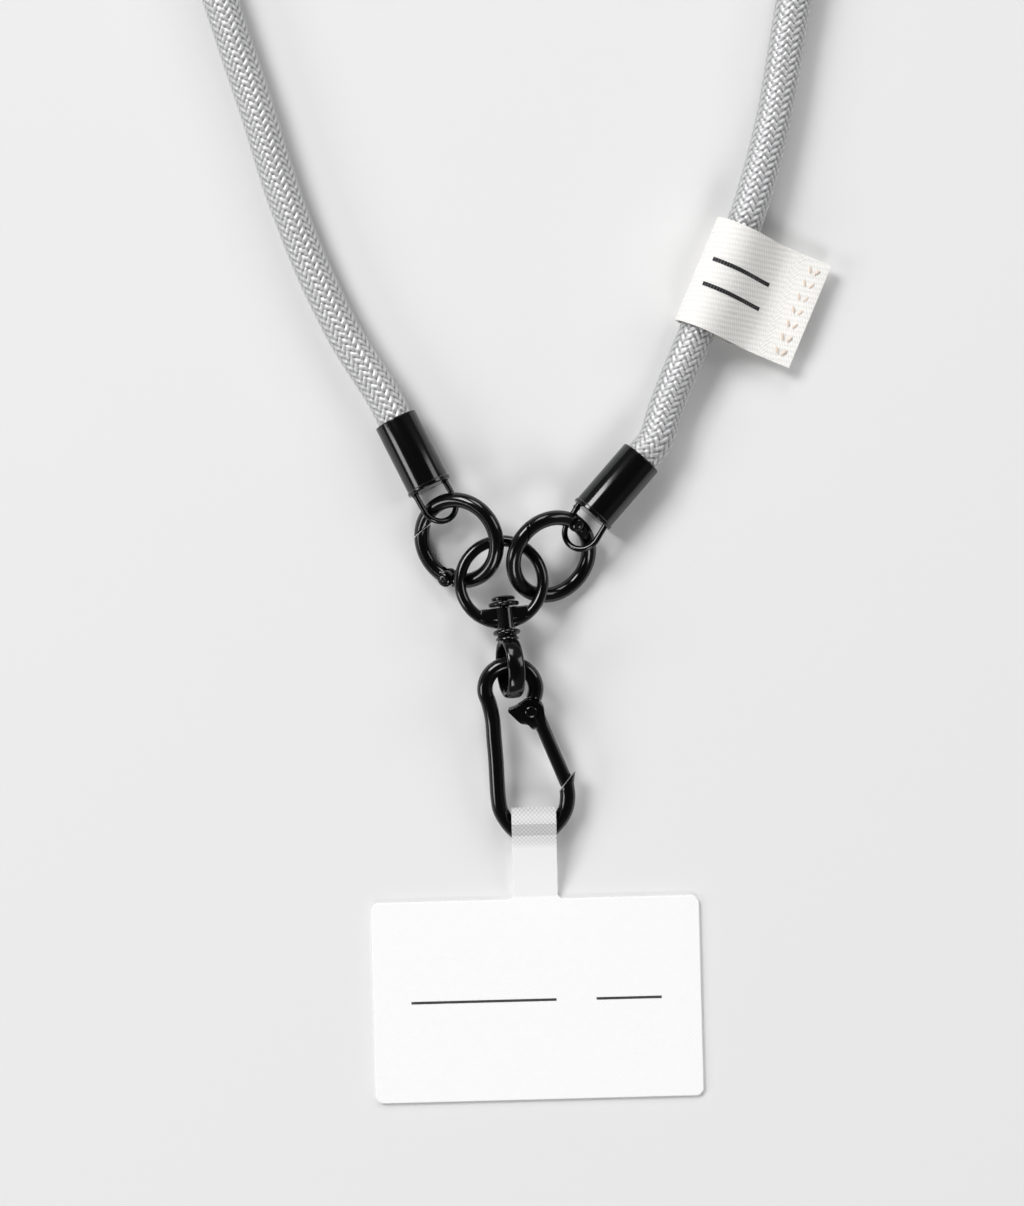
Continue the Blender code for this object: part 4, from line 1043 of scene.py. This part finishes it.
class STRAP_OT_label(bpy.types.Operator):
    """Build the woven label, its stitches and its plain woven bars"""
    bl_idname = "strap.label"
    bl_label = "Woven label"

    def execute(self, context):
        mat = label_material()
        turn = Matrix.Translation((*LABEL_CENTRE, 0.0)) @ Matrix.Rotation(LABEL_TURN, 4, "Z")
        line = self.side_view()
        cloth = self.cloth(line, turn, mat)
        stitches = self.stitches(turn, context.scene.strap_label.stitches)
        bars = self.bars(line, turn)
        stand_for(cloth, "root", "label", "woven_label")
        for piece in (stitches, bars):
            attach(piece, "root")
        return {"FINISHED"}

    def side_view(self):
        """The tape's middle line as (x, z): underneath, round the rope and back over it."""
        middle = LABEL_CLOTH / 2
        hole = ROPE + LABEL_SLACK + middle
        centre = ROPE + LABEL_SLACK + LABEL_CLOTH
        end = LABEL_END_HEIGHT
        shut = (ROPE + LABEL_SLACK) + LABEL_TAIL * 0.3
        level = (end + centre * 0.6) / 2
        low = [(LABEL_TAIL, end + middle), (shut, level + middle)]
        around = arc_points((0, centre), hole, math.radians(285), math.radians(75), 30)
        high = [(shut, level + 3 * middle), (LABEL_TAIL, end + 3 * middle)]
        points = [Vector((x, z, 0.0)) for x, z in low + around + high]
        return [(point.x, point.y) for point in smooth_route(points, 0.0006)]

    def ripple(self, x, share):
        """How far the tape lifts out of its plain fold at a place."""
        return 0.00016 * math.sin(x * 420.0 + 6.0 * share) * min(1.0, max(0.0, x / 0.006))

    def cloth(self, line, turn, mat):
        rows = 36
        bm = bmesh.new()
        bmesh.ops.create_grid(bm, x_segments=len(line) - 1, y_segments=rows, size=0.5)
        layer = bm.loops.layers.uv.new("tape")
        run = [0.0]
        for before, after in zip(line, line[1:]):
            run.append(run[-1] + math.dist(before, after))
        for face in bm.faces:
            for loop in face.loops:
                column = round((loop.vert.co.x + 0.5) * (len(line) - 1))
                loop[layer].uv = (run[column], loop.vert.co.y * LABEL_WIDTH)
        for vert in bm.verts:
            column = round((vert.co.x + 0.5) * (len(line) - 1))
            x, z = line[column]
            share = vert.co.y
            fray = 0.00012 * math.sin(run[column] * 5200.0) * (2 * share) ** 6
            lifted = z + self.ripple(x, share)
            vert.co = turn @ Vector((x, share * LABEL_WIDTH + math.copysign(fray, share), lifted))
        bmesh.ops.recalc_face_normals(bm, faces=bm.faces[:])
        obj = mesh_object("label_tape", bm, mat, 60)
        solid = obj.modifiers.new("Cloth", "SOLIDIFY")
        solid.thickness = LABEL_CLOTH * 0.9
        solid.offset = 0.0
        result = evaluated_mesh(obj)
        obj.modifiers.clear()
        old = obj.data
        obj.data = result
        bpy.data.meshes.remove(old)
        obj.data.shade_smooth()
        obj.data.set_sharp_from_angle(angle=math.radians(60))
        return obj

    def stitches(self, turn, count):
        """Beige thread in short slanted stitches beside the open end."""
        mat = thread_material("beige thread", (0.80, 0.68, 0.58))
        bm = bmesh.new()
        top = LABEL_END_HEIGHT + 2 * LABEL_CLOTH + 0.0001
        for index in range(count):
            y = (index + 0.5 - count / 2) * LABEL_WIDTH * 0.92 / count
            for x, slant in ((LABEL_TAIL - 0.0036, 0.5), (LABEL_TAIL - 0.0021, -0.5)):
                place = (turn @ Matrix.Translation((x, y, top)) @ Matrix.Rotation(slant, 4, "Z")
                         @ Matrix.Diagonal((0.00028, 0.00075, 0.00014, 1.0)))
                bmesh.ops.create_icosphere(bm, subdivisions=2, radius=1.0, matrix=place)
        return mesh_object("label_stitches", bm, mat, 60)

    def bars(self, line, turn):
        """Plain woven bars across the label's upper layer."""
        mat = thread_material("black thread", (0.02, 0.02, 0.022))
        upper = line[len(line) // 2:]
        bm = bmesh.new()
        upper = [Vector((x, 0.0, z + LABEL_CLOTH * 0.5)) for x, z in upper if -0.003 < x < 0.0095]
        for y in (-0.0026, 0.0026):
            for before, after in zip(upper, upper[1:]):
                middle = (before + after) / 2 + Vector((0.0, y, 0.0))
                middle.z += self.ripple(middle.x, y / LABEL_WIDTH)
                turned_to = (after - before).to_track_quat("X", "Z").to_matrix().to_4x4()
                place = (turn @ Matrix.Translation(middle) @ turned_to
                         @ Matrix.Diagonal(((after - before).length * 0.92, 0.0008, 0.00016, 1.0)))
                bmesh.ops.create_cube(bm, size=1.0, matrix=place)
        return mesh_object("label_bars", bm, mat)


class STRAP_OT_stage(bpy.types.Operator):
    """Set the floor, the camera and the soft studio light"""
    bl_idname = "strap.stage"
    bl_label = "Stage"

    def execute(self, context):
        settings = context.scene.strap_stage
        scene = context.scene
        bm = bmesh.new()
        bmesh.ops.create_grid(bm, x_segments=1, y_segments=1, size=6.0,
                              matrix=Matrix.Translation((0, 0, -0.00005)))
        floor = mesh_object("floor", bm, floor_material(settings.floor_grey))
        camera = bpy.data.cameras.new("camera")
        camera.lens = settings.lens
        camera.clip_start = 0.01
        holder = bpy.data.objects.new("camera", camera)
        holder.location = (*CAMERA_AT, VIEW_HEIGHT * settings.lens / 36.0)
        scene.collection.objects.link(holder)
        scene.camera = holder
        target = Vector((*CAMERA_AT, 0.0))
        for name, place, size, share in (("key", Vector(settings.key_at), 1.3, 1.0),
                                         ("right", Vector((2.2, 1.2, 1.6)), 1.2, 0.22),
                                         ("front", Vector((0.3, -2.4, 2.2)), 1.2, 0.43),
                                         ("left", Vector((-2.6, -0.6, 1.4)), 1.0, 0.29),
                                         ("back", Vector((0.2, 2.8, 1.8)), 1.2, 0.36)):
            light = bpy.data.lights.new(name, "AREA")
            light.energy = settings.key * share
            light.size = size
            lamp = bpy.data.objects.new(name, light)
            lamp.matrix_world = (Matrix.Translation(place)
                                 @ (target - place).to_track_quat("-Z", "Y").to_matrix().to_4x4())
            scene.collection.objects.link(lamp)
        world = bpy.data.worlds.new("studio")
        world.use_nodes = True
        tree = world.node_tree
        split = tree.nodes.new("ShaderNodeSeparateXYZ")
        tree.links.new(tree.nodes.new("ShaderNodeTexCoord").outputs["Generated"], split.inputs[0])
        dome = tree.nodes.new("ShaderNodeMapRange")
        dome.inputs["From Min"].default_value = 0.58
        dome.inputs["From Max"].default_value = 0.80
        dome.inputs["To Min"].default_value = settings.fill
        dome.inputs["To Max"].default_value = settings.overhead
        tree.links.new(split.outputs[2], dome.inputs["Value"])
        tree.links.new(dome.outputs[0], tree.nodes["Background"].inputs["Strength"])
        scene.world = world
        scene.view_settings.view_transform = "Standard"
        return {"FINISHED"}


class STRAP_PT_panel(bpy.types.Panel):
    bl_label = "Phone crossbody strap"
    bl_idname = "STRAP_PT_panel"
    bl_space_type = "VIEW_3D"
    bl_region_type = "UI"
    bl_category = "Strap"

    def draw(self, context):
        layout = self.layout
        for group, names in PANEL_ROWS:
            settings = getattr(context.scene, group)
            for name in names:
                layout.prop(settings, name)
        for operator in OPERATORS:
            layout.operator(operator.bl_idname)


PANEL_ROWS = (
    ("strap_rope", ("carriers", "pitch", "crown", "groove")),
    ("strap_metal", ("edge",)),
    ("strap_card", ("line",)),
    ("strap_label", ("stitches",)),
    ("strap_stage", ("lens", "floor_grey", "key", "fill", "overhead", "key_at")),
)
GROUPS = (("strap_rope", RopeSettings), ("strap_metal", MetalSettings),
          ("strap_card", CardSettings), ("strap_label", LabelSettings),
          ("strap_stage", StageSettings))
OPERATORS = (STRAP_OT_stage, STRAP_OT_rope, STRAP_OT_caps, STRAP_OT_gate_rings, STRAP_OT_swivel,
             STRAP_OT_carabiner, STRAP_OT_card, STRAP_OT_label)


def register():
    for name, group in GROUPS:
        bpy.utils.register_class(group)
        setattr(bpy.types.Scene, name, PointerProperty(type=group))
    for cls in (*OPERATORS, STRAP_PT_panel):
        bpy.utils.register_class(cls)


def unregister():
    for cls in reversed((*OPERATORS, STRAP_PT_panel)):
        bpy.utils.unregister_class(cls)
    for name, group in reversed(GROUPS):
        delattr(bpy.types.Scene, name)
        bpy.utils.unregister_class(group)


def main():
    register()
    metal_material(grain_group())
    bpy.ops.strap.stage()
    bpy.ops.strap.rope()
    bpy.ops.strap.caps()
    bpy.ops.strap.gate_rings()
    bpy.ops.strap.swivel()
    bpy.ops.strap.carabiner()
    bpy.ops.strap.card()
    bpy.ops.strap.label()


if __name__ == "__main__":
    main()
